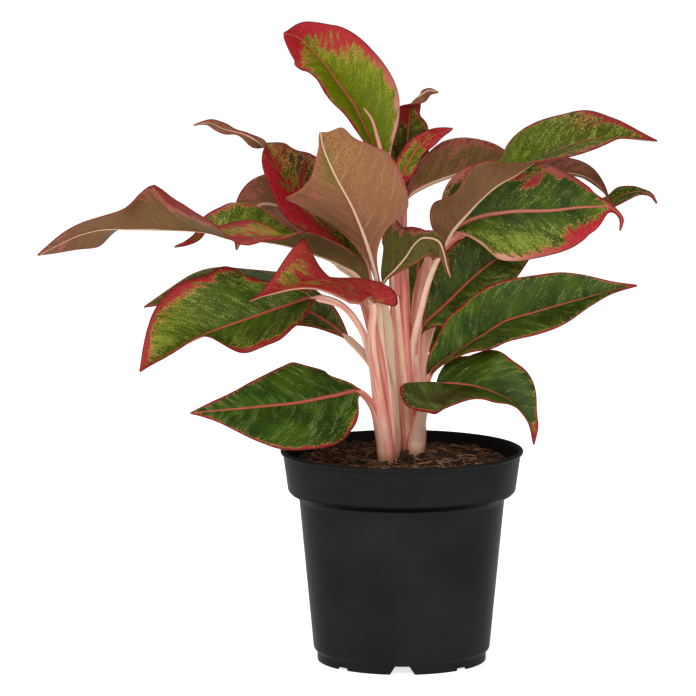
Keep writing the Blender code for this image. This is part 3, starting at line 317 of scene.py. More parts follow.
    # the long dark green leaf that rises to the right
    "leaf_right_middle": dict(
        side=-1, stalk=3,
        line=[(6, 17, 106), (6, 21, 130), (7.4, 24, 148), (9, 26, 159), (23.8, 30, 175), (38.8, 34, 188.8),
              (51, 36, 197.6), (64, 36, 204), (72.6, 34, 207.5)],
        turns=[(0, -45, 98), (0.5, -45, 98), (1, -45, 98)],
        wide=[(0.1, 6, 3.6), (0.2, 14, 10.5), (0.3, 18.5, 14.8), (0.4, 21, 17.5), (0.5, 21, 19), (0.6, 19.8, 18.5),
              (0.7, 16.8, 16.2), (0.8, 12, 12), (0.9, 6.5, 6.5)]),
    # the leaf under it, out to the right
    "leaf_right_low": dict(
        side=-1, stalk=2,
        line=[(7, 14, 106), (10.4, 14, 124), (13.4, 12, 140), (30, 8, 154), (41, 6, 161.7), (51, 3, 168.5),
              (64.5, 0, 173.2), (78.5, -3, 177.8), (92, -6, 182), (103, -8, 185.4), (115, -12, 188.6)],
        turns=[(0, 3, 100), (0.1, 3, 100), (0.2, -1, 100), (0.3, -8, 100), (0.4, -14, 100), (0.5, -19.5, 100),
               (0.6, -22, 100), (0.7, -21, 100), (0.8, -15, 100), (0.9, -12, 100), (1, -12, 100)],
        wide=[(0.1, 11.5, 10), (0.2, 18.4, 16.6), (0.3, 21.6, 18.4), (0.4, 22.4, 19.4), (0.5, 23, 19),
              (0.6, 21.7, 17.4), (0.7, 17.4, 15.4), (0.8, 11, 10.8), (0.9, 5, 4.4)]),
    # the lowest leaf on the right, its tip hanging down
    "leaf_right_lowest": dict(
        side=-1, stalk=2,
        line=[(6.4, 13, 107), (10.8, 4, 126), (17.5, 0, 137), (29.5, -8, 139), (43, -17, 137), (54.5, -24, 132),
              (62, -28, 123), (64.3, -30, 112.5)],
        turns=[(0, 40, 125), (0.03, 48, 125), (0.06, 20, 125), (0.1, -16, 125), (0.15, -30, 125), (0.2, -31, 125),
               (0.3, -22, 120), (0.4, -15, 110), (0.5, -9, 110), (0.6, -6, 110), (0.7, 1, 105), (0.8, -2, 98),
               (1, 0, 98)],
        wide=[(0.03, 6.8, 5.4), (0.06, 13.6, 10), (0.1, 19.4, 13.4), (0.2, 23.8, 16.4), (0.3, 24.4, 19.4),
              (0.4, 21.6, 20.2), (0.5, 18, 18.5), (0.6, 16, 16.8), (0.7, 12, 12.2), (0.8, 8, 6), (0.9, 4, 3.3)],
        sweep=[(0, 0, 0), (0.03, -1.3, 0), (0.06, -1.15, 0), (0.1, -0.8, 0), (0.15, -0.5, 0), (0.2, -0.2, 0),
               (0.3, 0, 0), (1, 0, 0)]),
    # the small leaf curled over in the middle
    "leaf_middle_curled": dict(
        side=-1, stalk=3,
        line=[(-5, 2, 104), (-10, -3, 165), (-10.4, -5.5, 187), (-9.2, -6, 189.4), (-4, -5.4, 195),
              (1.9, -4, 201.9), (5.9, -4, 207.8), (9.3, -4, 210.6), (13.7, -4, 210.8), (17.6, -5, 209.4),
              (20.1, -6, 204.1), (21.5, -7, 198.3), (23.5, -8, 192.1)],
        turns=[(0, 95, 270), (0.45, 95, 272), (0.55, 110, 275), (1, 120, 275)],
        wide=[(0, 1.0, 0.8), (0.05, 6, 1), (0.1, 11.4, 1.4), (0.2, 15.4, 3.4), (0.3, 15.8, 6), (0.38, 15.6, 8),
              (0.45, 15.8, 9.7), (0.5, 9, 10.8), (0.55, 3.8, 11), (0.6, 4.4, 8.5), (0.65, 3.4, 5.5), (0.75, 2, 2.6),
              (0.85, 1.8, 1.8)],
        sweep=[(0, 0.2, 0), (0.1, 0.5, 0), (0.2, 0.34, 0), (0.3, 0.26, 0), (0.38, 0.23, 0), (0.45, 0.1, 0.1),
               (0.5, -0.5, 0.2), (0.55, 0, 0.3), (0.65, 0, 1), (0.75, 0, 1.2), (0.85, 0, 0), (1, 0, 0)]),
    # the arching leaf behind the upper left one
    "leaf_left_back": dict(
        side=1, stalk=2,
        line=[(-5, 8, 104), (-10, 18, 160), (-26, 25, 200.7), (-41, 30, 215), (-56, 34, 221), (-70, 34, 223),
              (-78, 30, 215), (-82, 26, 201)],
        turns=[(0, 85, 190), (0.2, 86, 215), (0.4, 88, 232), (0.6, 88, 215), (1, 85, 230)],
        wide=[(0.1, 10, 8), (0.2, 14, 12), (0.3, 17, 15), (0.4, 18, 15), (0.5, 17, 13), (0.6, 15.2, 10),
              (0.7, 11, 8), (0.8, 7, 6), (0.9, 3.4, 3)]),
    # five leaves round the back, not seen from the front
    "leaf_rear_high": dict(
        side=-1, stalk=2, ref=(1, 0, 0),
        line=[(-5, 6, 106), (-12, 28, 160), (-19, 44, 198), (-22, 62, 216), (-23, 84, 224), (-23, 106, 218),
              (-22, 124, 202)],
        turns=[(0, 30, 150), (0.3, 14, 166), (0.7, 8, 172), (1, 10, 170)],
        wide=[(0.1, 9, 9), (0.2, 14.5, 14.5), (0.35, 18.5, 18.5), (0.5, 19, 19), (0.65, 16.5, 16.5),
              (0.8, 11.5, 11.5), (0.92, 5, 5)]),
    "leaf_rear_left": dict(
        side=-1, stalk=2, ref=(1, 0, 0),
        line=[(-6, 6, 105), (-12, 30, 148), (-24, 50, 186), (-36, 68, 206), (-46, 88, 212), (-54, 106, 208),
              (-60, 120, 197)],
        turns=[(0, 30, 150), (0.3, 14, 166), (0.7, 6, 174), (1, 6, 174)],
        wide=[(0.1, 8, 8), (0.2, 13, 13), (0.35, 17, 17), (0.5, 18, 18), (0.65, 15.5, 15.5), (0.8, 11, 11),
              (0.92, 5, 5)]),
    "leaf_rear_right": dict(
        side=-1, stalk=2, ref=(1, 0, 0),
        line=[(7, 21, 107), (9.4, 37, 142), (25, 58, 182), (40, 82, 205), (54, 104, 210), (64, 122, 203),
              (70, 134, 190)],
        turns=[(0, 30, 150), (0.3, 14, 166), (0.7, 6, 174), (1, 6, 174)],
        wide=[(0.1, 8.5, 8.5), (0.2, 14, 14), (0.35, 18, 18), (0.5, 18.5, 18.5), (0.65, 16, 16), (0.8, 11, 11),
              (0.92, 5, 5)]),
    "leaf_rear_right_low": dict(
        side=-1, stalk=2, ref=(1, 0, 0),
        line=[(7, 20, 107), (8.4, 30, 128), (15, 41, 145), (28, 58, 156), (44, 80, 160), (57, 98, 157),
              (66, 111, 148)],
        turns=[(0, 40, 140), (0.3, 16, 164), (0.7, 6, 174), (1, 6, 174)],
        wide=[(0.1, 8, 8), (0.2, 12.5, 12.5), (0.35, 16, 16), (0.5, 16.5, 16.5), (0.65, 14, 14), (0.8, 10, 10),
              (0.92, 4.6, 4.6)]),
    "leaf_rear_middle": dict(
        side=-1, stalk=2, ref=(1, 0, 0),
        line=[(6, 20, 107), (5, 30, 134), (4.5, 38.5, 150), (7, 47, 168), (8.5, 58, 186), (8.5, 73, 198),
              (7, 91, 200), (5, 105, 193)],
        turns=[(0, 12, 168), (0.3, 8, 172), (0.7, 14, 166), (1, 20, 160)],
        wide=[(0.1, 6, 6), (0.2, 9, 9), (0.35, 11.5, 11.5), (0.5, 12, 12), (0.65, 10.5, 10.5), (0.8, 7.5, 7.5),
              (0.92, 3.6, 3.6)]),
}

# How each leaf is coloured. green runs from bright olive (0) to deep green (1); flush is how far the
# red has spread and brim how many millimetres it reaches in from the border; fleck is how thickly the
# yellow-green flecks lie and rim how much more of them near the border; margin is the width of the
# border line, pale turns red to pale pink and dusk turns green to dark brown. The same words with
# under_ are for the underside. spots lists what changes where: the word, the place along and across
# the blade (near half positive), the reach both ways, and the amount.
PLAIN = dict(green=0.8, flush=0.0, brim=1.8, fleck=0.2, rim=0.3, margin=0.6, rib=0.9, vein=0.4, pale=0.0, dusk=0.0,
             under_green=0.2, under_flush=0.05, under_brim=1.1, under_fleck=0.5, under_rim=0.0, under_rib=1.0,
             spots=())
PATTERNS = {
    "leaf_top": dict(green=0, fleck=0.1, brim=2.2, rib=1.25, vein=0.1, spots=[
        ("flush", 1, 0, 0.13, 2, 1), ("flush", 0.84, -0.9, 0.16, 0.6, 0.8), ("flush", 0.74, -0.55, 0.1, 0.2, 0.3),
        ("flush", 0.62, -1, 0.24, 0.2, 0.55), ("flush", 0.86, 0.9, 0.12, 0.6, 0.5),
        ("green", 0.9, -0.2, 0.1, 0.3, 0.4), ("pale", 0.22, -1, 0.24, 0.24, 1), ("fleck", 0.7, -0.4, 0.2, 0.5, 0.5),
        ("fleck", 0.5, -0.8, 0.3, 0.25, 0.4), ("fleck", 0.8, 0.5, 0.2, 0.5, 0.4), ("dusk", 0.6, 0.6, 0.3, 0.6, 0.15)]),
    "leaf_top_back": dict(fleck=0.3, brim=2.5, dusk=0.5, under_dusk=0.35, spots=[
        ("flush", 0.65, 0.6, 0.12, 0.8, 0.8), ("flush", 0.5, 0.9, 0.3, 0.3, 0.6)]),
    "leaf_small_young": dict(green=0.3, fleck=0.4, brim=2, spots=[
        ("flush", 0.9, 0, 0.25, 2, 1), ("flush", 0.1, 0, 0.2, 2, 0.8)]),
    "leaf_right_high_back": dict(brim=2, under_green=0.35, under_flush=0.2, under_fleck=1, under_brim=3.4,
                                 under_rim=0.8, under_dusk=0.5, under_pale=0.4, vein=0.1),
    "leaf_middle_tall": dict(under_green=-0.1, under_flush=0.08, under_fleck=0.3, under_dusk=0.12, vein=0.8,
                             under_rib=0.5,
                             under_brim=1.3, under_pale=0.3, spots=[
        ("under_green", 0.8, -0.4, 0.14, 0.5, 0.55), ("under_green", 0.9, 0.15, 0.08, 0.4, 0.4),
        ("under_green", 0.7, -0.15, 0.16, 0.22, 0.35), ("under_fleck", 0.85, 0, 0.2, 0.9, 0.7),
        ("under_dusk", 0.4, -0.7, 0.26, 0.65, 0.45), ("under_dusk", 0.3, 0.5, 0.14, 0.6, 0.25),
        ("under_flush", 0.6, -0.7, 0.16, 0.4, 0.2)]),
    "leaf_left_high": dict(green=0.2, fleck=0.12, brim=1, rib=0.4, under_dusk=0.42, under_rib=0.5, spots=[
        ("flush", 0.35, 0.65, 0.5, 0.55, 1.15), ("dusk", 0.4, -0.7, 0.6, 0.65, 1),
        ("flush", 0.5, -0.6, 0.4, 0.6, 0.34), ("fleck", 0.62, -0.25, 0.12, 0.3, 0.4)]),
    "leaf_left_long": dict(green=0.3, fleck=0.4, brim=1.6, under_green=0.5, under_fleck=0.6, under_dusk=0.52,
                           under_rib=0.6, under_brim=0.3, vein=0.12, spots=[
        ("under_flush", 0.57, 1, 0.1, 0.35, 2), ("under_green", 1, 0, 0.3, 2, -0.4),
        ("flush", 0.42, -1, 0.16, 0.42, 1.2), ("flush", 0.44, 0.4, 0.16, 0.6, 1.25),
        ("fleck", 0.34, -0.45, 0.1, 0.25, 0.6), ("dusk", 0.42, -1, 0.16, 0.3, 0.3),
        ("under_flush", 0.56, 1, 0.07, 0.25, 0.9), ("under_flush", 1, 0, 0.15, 2, 0.35)]),
    "leaf_left_green": dict(green=0.6, fleck=0.55, brim=1.4, rib=0.4, vein=0.2, spots=[
        ("flush", 0.5, 0, 0.2, 0.14, 0.6), ("flush", 0.34, 0, 0.1, 0.3, 0.7), ("pale", 0.34, 0, 0.1, 0.3, 0.5),
        ("dusk", 0.6, 0.5, 0.2, 0.5, 0.2), ("flush", 1, 0, 0.25, 2, 0.7)]),
    "leaf_left_red": dict(green=0.1, flush=0.85, fleck=0.7, brim=2.5, rib=0.5, spots=[
        ("pale", 0.85, 1, 0.25, 0.09, 0.9), ("dusk", 0.62, -0.5, 0.2, 0.5, 0.4),
        ("flush", 0.72, -0.5, 0.12, 0.3, -0.35), ("flush", 0.6, 0.3, 0.06, 0.3, -0.6),
        ("flush", 0.7, 0, 0.06, 0.25, -0.5), ("pale", 0.4, 1, 0.5, 0.07, 0.8), ("dusk", 0.1, -0.5, 0.12, 1, 0.4),
        ("dusk", 0.5, -0.7, 0.12, 0.4, 0.2)]),
    "leaf_left_low": dict(green=0.85, fleck=0.3, rim=0.35, brim=2.4, rib=0.9, vein=0.4, spots=[
        ("dusk", 0.7, -1, 0.4, 0.22, 0.45), ("dusk", 0.5, 1, 0.4, 0.2, 0.45), ("dusk", 1, 0, 0.1, 2, 0.3),
        ("flush", 1, 0, 0.1, 2, 0.9), ("flush", 0.82, -0.95, 0.22, 0.28, 0.65), ("flush", 0.5, -1, 0.2, 0.2, 0.5),
        ("flush", 0.45, 1, 0.16, 0.15, 0.5), ("fleck", 0.8, -0.5, 0.25, 0.5, 0.4),
        ("green", 0.8, -0.5, 0.22, 0.6, -0.4), ("dusk", 0.3, 0.6, 0.3, 0.5, 0.15)]),
    "leaf_left_low_back": dict(green=0.95, brim=1.8, dusk=0.3, under_flush=0.4, fleck=0.3),
    "leaf_left_lowest": dict(green=1, fleck=-0.02, rim=0.35, brim=1.2, rib=0.9, vein=0.8, spots=[
        ("dusk", 0.6, -1, 0.5, 0.14, 0.35), ("dusk", 0.6, 1, 0.5, 0.14, 0.35), ("fleck", 0.1, 0.8, 0.25, 0.4, 0.35),
        ("flush", 0.1, 1, 0.2, 0.2, 0.5)]),
    "leaf_right_high": dict(green=0.55, fleck=0.45, dusk=0.12, brim=1.6, rib=0.5, under_green=0.4, under_dusk=0.4,
                            under_fleck=0.15, vein=0.25, spots=[
        ("dusk", 0.8, -0.6, 0.14, 0.5, 0.55), ("flush", 1, 0, 0.09, 2, 0.9), ("flush", 0.87, -1, 0.13, 0.35, 0.8),
        ("flush", 0.74, -0.55, 0.05, 0.3, 0.4), ("flush", 0.7, 1, 0.2, 0.4, 0.4),
        ("dusk", 0.62, 0.55, 0.16, 0.5, 0.5), ("dusk", 0.35, 0.55, 0.25, 0.5, 0.4)]),
    "leaf_right_broad": dict(green=0.95, fleck=0.05, rim=0.3, brim=2, rib=1.05, vein=0.6, spots=[
        ("fleck", 0.3, 0.75, 0.25, 0.4, 0.1), ("green", 0.32, 0.7, 0.25, 0.4, -0.3),
        ("fleck", 0.85, 0.1, 0.12, 0.5, 0.5), ("green", 0.85, 0, 0.12, 0.6, -0.5),
        ("fleck", 0.45, -0.45, 0.12, 0.3, 0.4), ("pale", 0.4, 0, 0.5, 0.05, 0.45),
        ("flush", 0.72, 0.85, 0.13, 0.42, 1), ("flush", 0.92, 0, 0.07, 2, 0.6), ("flush", 0.5, 1, 0.16, 0.2, 0.5),
        ("flush", 0.43, -0.6, 0.08, 0.16, 0.75), ("flush", 0.58, -0.95, 0.08, 0.2, 0.6),
        ("pale", 0.56, -1, 0.1, 0.3, 0.35), ("flush", 0.2, -0.95, 0.1, 0.22, 0.5),
        ("pale", 0.12, -1, 0.14, 0.3, 0.4), ("dusk", 0.1, -0.8, 0.1, 0.3, 0.4), ("pale", 0.15, 1, 0.28, 0.25, 1),
        ("flush", 0.15, 1, 0.22, 0.14, 0.7), ("fleck", 0.25, 0.6, 0.25, 0.4, 0.5),
        ("fleck", 0.5, 0.6, 0.2, 0.3, 0.4), ("dusk", 1, 0, 0.1, 2, 0.3)]),
    "leaf_right_back_upper": dict(green=0.9, flush=0.25, brim=1.8, under_flush=0.3, dusk=0.3, under_dusk=0.5,
                                  under_rib=0.5),
    "leaf_right_back_lower": dict(green=0.8, fleck=0.2, brim=0.8, dusk=0.2, rib=0.5, under_dusk=0.3),
    "leaf_right_middle": dict(green=0.95, fleck=0.1, brim=1, rib=0.9, vein=0.7, dusk=0.1, spots=[
        ("fleck", 0.6, 0.7, 0.3, 0.5, 0.4), ("dusk", 0.6, 0.7, 0.3, 0.5, 0.25)]),
    "leaf_right_low": dict(green=0.95, fleck=0.08, brim=1, rib=0.9, vein=0.7, spots=[
        ("dusk", 0.4, 0.6, 0.4, 0.5, 0.25), ("flush", 1, 0, 0.06, 2, 0.8)]),
    "leaf_right_lowest": dict(green=0.95, fleck=0.05, brim=1, rib=0.6, vein=0.7, spots=[
        ("flush", 1, 0, 0.12, 2, 0.8), ("dusk", 0.2, 0.7, 0.3, 0.6, 0.5), ("fleck", 0.3, 0.7, 0.4, 0.6, -0.25)]),
    "leaf_middle_curled": dict(green=0.5, fleck=0.4, under_green=1.1, under_fleck=0.9, under_dusk=0.5, brim=1.5,
                               under_flush=0, vein=0.1, under_brim=0.8, rib=0.5, under_rib=0.45, spots=[
        ("under_flush", 0.47, 0.95, 0.07, 0.45, 2.2), ("under_green", 0.75, 0, 0.25, 2, -0.5)]),
    "leaf_left_back": dict(under_flush=0.42, under_green=0.1, under_dusk=0.42, vein=0.1, flush=0.5, dusk=0.4,
                           under_rib=0.5),
    "leaf_rear_high": dict(green=0.4, fleck=0.35, brim=3, rib=1.1, spots=[
        ("flush", 1, 0, 0.16, 2, 1), ("flush", 0.6, 1, 0.3, 0.3, 0.6), ("flush", 0.5, -1, 0.3, 0.2, 0.4)]),
    "leaf_rear_left": dict(green=0.7, fleck=0.3, brim=3, rib=1.1, spots=[
        ("flush", 1, 0, 0.14, 2, 0.9), ("flush", 0.45, -1, 0.3, 0.35, 0.6)]),
    "leaf_rear_right": dict(green=0.95, fleck=0.1, brim=2.2, rib=1.1, vein=0.7, spots=[
        ("flush", 1, 0, 0.1, 2, 0.9), ("flush", 0.7, 0.9, 0.2, 0.3, 0.5)]),
    "leaf_rear_right_low": dict(green=1, fleck=0, brim=1.4, rib=1, vein=0.8),
    "leaf_rear_middle": dict(green=0.8, fleck=0.3, brim=2.6, spots=[
        ("flush", 1, 0, 0.14, 2, 0.9)]),
}

CAMERA_RISE = 8.46        # how far the camera looks down, in degrees
CAMERA_AWAY = 3033.0      # from the camera to the point that it looks at
CAMERA_AIM = (-26.6, 0.0, 155.8)
CAMERA_LENS = 318.5
CAMERA_SENSOR = 36.0      # width of the camera's picture, as its lens is given for
FLOOR_HALF = 14.0         # half the floor's width, in metres
LIGHTS_AT = (0, 0, 150)   # the point that the lights shine on


def linear(code):
    """An sRGB hex colour as linear red, green and blue."""
    parts = [int(code[i:i + 2], 16) / 255 for i in (1, 3, 5)]
    return tuple(c / 12.92 if c <= 0.04045 else ((c + 0.055) / 1.055)**2.4 for c in parts)


def colour(name, code, text):
    """A colour property with its default given as sRGB hex."""
    return FloatVectorProperty(name=name, description=text, subtype="COLOR", size=3, min=0.0, max=1.0,
                               default=linear(code))


class EvergreenLeafSettings(bpy.types.PropertyGroup):
    """Sizes and colours of the leaf blades."""
    rows: IntProperty(name="Rows", description="Mesh rows along a blade", default=84, min=12, max=160)
    columns: IntProperty(name="Columns", description="Mesh columns in half a blade", default=14, min=4, max=30)
    thickness: FloatProperty(name="Thickness", description="Thickness of a blade", default=0.0006,
                             unit="LENGTH", subtype="DISTANCE", min=0.0002, max=0.002, precision=5)
    rib_height: FloatProperty(name="Midrib", description="How far the midrib stands out underneath",
                              default=0.0012, unit="LENGTH", subtype="DISTANCE", min=0.0, max=0.003, precision=5)
    vein_spacing: FloatProperty(name="Vein spacing", description="Distance between side veins along the midrib",
                                default=0.009, unit="LENGTH", subtype="DISTANCE", min=0.003, max=0.03, precision=4)
    roughness: FloatProperty(name="Roughness", description="Roughness of the waxy upper side", default=0.42,
                         subtype="FACTOR", min=0.0, max=1.0)
    deep_green: colour("Deep green", "#22360a", "Shaded green of the blade")
    leaf_green: colour("Leaf green", "#38500a", "Middle green of the blade")
    olive: colour("Olive", "#5f6a00", "Bright olive green of the young blades")
    fleck: colour("Flecks", "#8f951c", "Yellow-green flecks between the veins")
    gold: colour("Gold", "#b58b42", "Gold flecks where green turns to red")
    # pale colour of the side veins, also used for the painted sheen along them
    vein: colour("Side veins", "#788a4e", "Pale side veins of the upper side")
    red: colour("Red", "#b8222d", "Red that spreads from tip and border")
    deep_red: colour("Deep red", "#78101a", "Darker red between the flecks")
    border: colour("Border", "#6e1c1e", "Red line along the border")
    rib: colour("Midrib", "#c0614c", "Coral midrib of the upper side")
    pale_pink: colour("Pale pink", "#d6a08a", "Pale pink of some borders and midribs")
    dusk: colour("Dark brown", "#3a220f", "Dark brown where green and red lie over each other")
    tan: colour("Underside", "#9b6847", "Tan of the underside")
    brown: colour("Underside shade", "#744a36", "Browner parts of the underside")
    under_olive: colour("Underside green", "#464b16", "Green that shows through underneath")
    under_pink: colour("Underside pink", "#9c5648", "Pink of the underside near the border")
    under_rib: colour("Underside midrib", "#cfa68e", "Cream midrib of the underside")


class EvergreenShootSettings(bpy.types.PropertyGroup):
    """Sizes and colours of the canes and leaf stalks."""
    sides: IntProperty(name="Sides", description="Mesh sides round a stalk", default=20, min=8, max=48)
    sheath: FloatProperty(name="Sheath width", description="Width of a stalk where it wraps the cane",
                          default=0.0104, unit="LENGTH", subtype="DISTANCE", min=0.003, max=0.02, precision=4)
    cream: colour("Cream", "#f5cdb4", "Pale flesh of the stalks")
    pink: colour("Pink", "#e39684", "Pink bloom over the stalks")
    coral: colour("Coral", "#bf544a", "Coral stripes along the stalks")
    pale_green: colour("Pale green", "#cbbd96", "Greenish cream of the left shoot")
    stain: colour("Stain", "#8d5a33", "Brown where the stalks meet the soil")


class EvergreenPotSettings(bpy.types.PropertyGroup):
    """Sizes and colours of the nursery pot."""
    sides: IntProperty(name="Sides", description="Mesh sides round the pot", default=144, min=24, max=256)
    grain: FloatProperty(name="Grain", description="Size of the moulded grain", default=0.0009,
                         unit="LENGTH", subtype="DISTANCE", min=0.0001, max=0.005, precision=5)
    black: colour("Black", "#1b1c1b", "Black plastic")
    worn: colour("Worn black", "#232423", "Slightly greyer black where it is rubbed")
    # painted shade: near black put on the step under the band, where shade falls under it
    painted_step_shade: colour("Step", "#030303", "Unrubbed black of the step under the band")


class EvergreenSoilSettings(bpy.types.PropertyGroup):
    """Sizes and colours of the coco peat."""
    crumbs: IntProperty(name="Crumbs", description="Number of loose crumbs on the soil", default=1500, min=0,
                        max=4000)
    fibres: IntProperty(name="Fibres", description="Number of coir fibres on the soil", default=760, min=0,
                        max=2000)
    # darkest peat colour, which lies where the bumped surface is low
    dark: colour("Dark peat", "#170b03", "Damp dark peat")
    peat: colour("Peat", "#3a210c", "Drier brown peat")
    dry: colour("Dry crumbs", "#5f3d1e", "Dry crumbs on top")
    coir: colour("Coir", "#cf9f78", "Pale coir fibres")


class EvergreenStageSettings(bpy.types.PropertyGroup):
    """Floor, lights and camera."""
    floor: colour("Floor", "#f7f7f7", "Plain pale floor")
    key: FloatProperty(name="Key light", description="Power of the large soft light", default=29.0, unit="POWER",
                       min=0.0, max=2000.0)
    fill: FloatProperty(name="Fill light", description="Power of the fill light", default=9.0, unit="POWER",
                        min=0.0, max=2000.0)
    sky: FloatProperty(name="Room light", description="Strength of the even light all round", default=0.27,
                       min=0.0, max=5.0)
    table: FloatProperty(name="Table glow", description="How brightly the table shines from below", default=0.75,
                         min=0.0, max=5.0)


def smooth(keys, values, at):
    """A smooth line through the values at the rising keys, read at the places in at."""
    keys = np.asarray(keys, float)
    values = np.asarray(values, float)
    gaps = np.diff(keys)
    slopes = np.diff(values, axis=0) / gaps.reshape(-1, *[1] * (values.ndim - 1))
    lean = np.zeros_like(values)
    lean[0], lean[-1] = slopes[0], slopes[-1]
    for i in range(1, len(keys) - 1):
        lean[i] = (slopes[i] * gaps[i - 1] + slopes[i - 1] * gaps[i]) / (gaps[i - 1] + gaps[i])
    at = np.clip(np.asarray(at, float), keys[0], keys[-1])
    n = np.clip(np.searchsorted(keys, at, side="right") - 1, 0, len(gaps) - 1)
    step = gaps[n]
    t = (at - keys[n]) / step
    if values.ndim > 1:
        t, step = t[:, None], step[:, None]
    return ((2 * t**3 - 3 * t**2 + 1) * values[n] + (t**3 - 2 * t**2 + t) * step * lean[n]
            + (3 * t**2 - 2 * t**3) * values[n + 1] + (t**3 - t**2) * step * lean[n + 1])


def lengths(points):
    """How far along a line each of its points lies."""
    return np.concatenate([[0], np.cumsum(np.linalg.norm(np.diff(points, axis=0), axis=1))])


def unit(vectors):
    """The same directions with length one."""
    return vectors / np.maximum(np.linalg.norm(vectors, axis=-1, keepdims=True), 1e-9)


def blade_form(leaf, order, rows, columns, spacing):
    """The middle surface of a blade, its upper direction, and what the material needs to know at each point."""
    points = np.asarray(leaf["line"], float)
    keys = lengths(points)
    start = keys[leaf["stalk"]]
    s = np.linspace(0, 1, rows + 1)
    s = s - ROW_CROWDING * np.sin(2 * math.pi * s) / (2 * math.pi)
    here = start + s * (keys[-1] - start)
    middle = smooth(keys, points, here)
    ahead = unit(smooth(keys, points, np.clip(here + 0.5, 0, keys[-1]))
                 - smooth(keys, points, np.clip(here - 0.5, 0, keys[-1])))
    face = np.asarray(leaf.get("ref", (0, -1, 0)), float)
    across = unit(face - (ahead @ face)[:, None] * ahead)
    rise = np.cross(ahead, across) * leaf["side"]
    turns = np.asarray(leaf["turns"], float)
    wide = leaf["wide"]
    wide = np.asarray([WIDE_FIRST] * (wide[0][0] > 0) + wide + [WIDE_LAST] * (wide[-1][0] < 1), float)
    sweep = np.asarray(leaf.get("sweep", [(0, 0, 0), (1, 0, 0)]), float)
    angles = np.radians(smooth(turns[:, 0], turns[:, 1:], s))
    least = 0.9 * np.exp(-s * 12) + 0.35
    body = (s**0.6) * (1 - s) / 0.509
    shape = (rows + 1, 2 * columns + 1)
    place = np.zeros((*shape, 3))
    upward = np.zeros((*shape, 3))
    far = np.zeros(shape)
    edge = np.zeros(shape)
    u_of = np.zeros(shape)
    place[:, columns] = middle
    for half in (0, 1):
        sign = 1 if half == 0 else -1
        angle = angles[:, half]
        width = np.maximum(smooth(wide[:, 0], wide[:, 1 + half], s), least)
        forward = smooth(sweep[:, 0], sweep[:, 1 + half], s) * width
        out = np.cos(angle)[:, None] * across + np.sin(angle)[:, None] * rise
        up = np.cos(angle)[:, None] * rise - np.sin(angle)[:, None] * across
        wave = leaf.get("ripple", 1) * EDGE_WAVE * np.sqrt(body) * np.sin(
            2 * math.pi * EDGE_WAVES * s + 1.7 * order + 2.1 * half)
        upward[:, columns] += up * sign
        edge[:, columns] = np.maximum(edge[:, columns], width)
        for j in range(1, columns + 1):
            u = (j / columns)**COLUMN_CROWDING
            at = columns - j if half == 0 else columns + j
            crown = CROWN * width * 4 * u * (1 - u) * np.sqrt(np.clip(body, 0, 1))
            place[:, at] = (middle + out * (width * u)[:, None]
                            + up * (sign * (wave * u**2 + crown))[:, None] + ahead * (forward * u**1.3)[:, None])
            upward[:, at] = up * sign
            far[:, at] = sign * width * u
            edge[:, at] = width * (1 - u)
            u_of[:, at] = sign * u
    normal = unit(np.cross(np.gradient(place, axis=0), np.gradient(place, axis=1)))
    flip = np.sign(np.sum(normal * unit(upward), axis=2))
    normal *= np.where(flip == 0, 1, flip)[..., None]
    along = np.repeat((here - start)[:, None], shape[1], axis=1)
    bent = np.abs(far) * VEIN_LEAN + VEIN_BEND * far**2
    facts = {"along": along, "across": far, "edge": edge, "stream": along - bent + 0.35 * spacing * np.sign(far),
             "s": np.repeat(s[:, None], shape[1], axis=1), "u": u_of}
    return place, normal, facts


def closed_mesh(name, points, faces):
    """A smooth mesh of points in millimetres, its faces turned outwards."""
    mesh = bpy.data.meshes.new(name)
    mesh.from_pydata((points * MM).tolist(), [], faces)
    shape = bmesh.new()
    shape.from_mesh(mesh)
    bmesh.ops.recalc_face_normals(shape, faces=shape.faces)
    shape.to_mesh(mesh)
    shape.free()
    mesh.shade_smooth()
    return mesh


def skin_mesh(name, place, normal, above, below):
    """A closed blade: an upper and a lower skin joined along their rim."""
    rows, columns = place.shape[:2]
    skins = np.concatenate([(place + normal * above[..., None]).reshape(-1, 3),
                            (place - normal * below[..., None]).reshape(-1, 3)])
    index = np.arange(rows * columns).reshape(rows, columns)
    a, b, c, d = index[:-1, :-1], index[1:, :-1], index[1:, 1:], index[:-1, 1:]
    top = np.stack([a, b, c, d], axis=-1).reshape(-1, 4)
    rim = np.concatenate([index[:, 0], index[-1, 1:], index[-2::-1, -1], index[0, -2:0:-1]])
    low = rows * columns
    sides = np.stack([rim, rim + low, np.roll(rim, -1) + low, np.roll(rim, -1)], axis=-1)
    faces = np.concatenate([top, top[:, ::-1] + low, sides])
    return closed_mesh(name, skins, faces.tolist())


def keep(mesh, name, values):
    """Keep one number a point on the mesh for its material."""
    mesh.attributes.new(name, "FLOAT", "POINT").data.foreach_set("value", np.asarray(values, np.float32).ravel())


def add_piece(name, mesh, material, slot, *stands_for):
    """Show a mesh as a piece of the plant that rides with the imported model."""
    item = bpy.data.objects.new(name, mesh)
    bpy.context.scene.collection.objects.link(item)
    mesh.materials.clear()
    mesh.materials.append(material)
    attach(item, "root")
    if stands_for:
        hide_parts(*stands_for)
    return item


def put(tree, kind, inputs=None, **settings):
    """Add one shader node with its settings, and set or link its inputs."""
    made = tree.nodes.new("ShaderNode" + kind)
    for name, value in settings.items():
        setattr(made, name, value)
    for key, value in (inputs or {}).items():
        socket = made.inputs[key]
        if isinstance(value, bpy.types.Node):
            value = next(o for o in value.outputs if o.enabled)
        if isinstance(value, bpy.types.NodeSocket):
            tree.links.new(value, socket)
        elif socket.type == "RGBA":
            socket.default_value = (*value[:3], 1.0)
        else:
            socket.default_value = value
    return made


def fresh_material(name):
    """An empty node material with only its output."""
    made = bpy.data.materials.new(name)
    made.use_nodes = True
    made.node_tree.nodes.clear()
    return made, made.node_tree


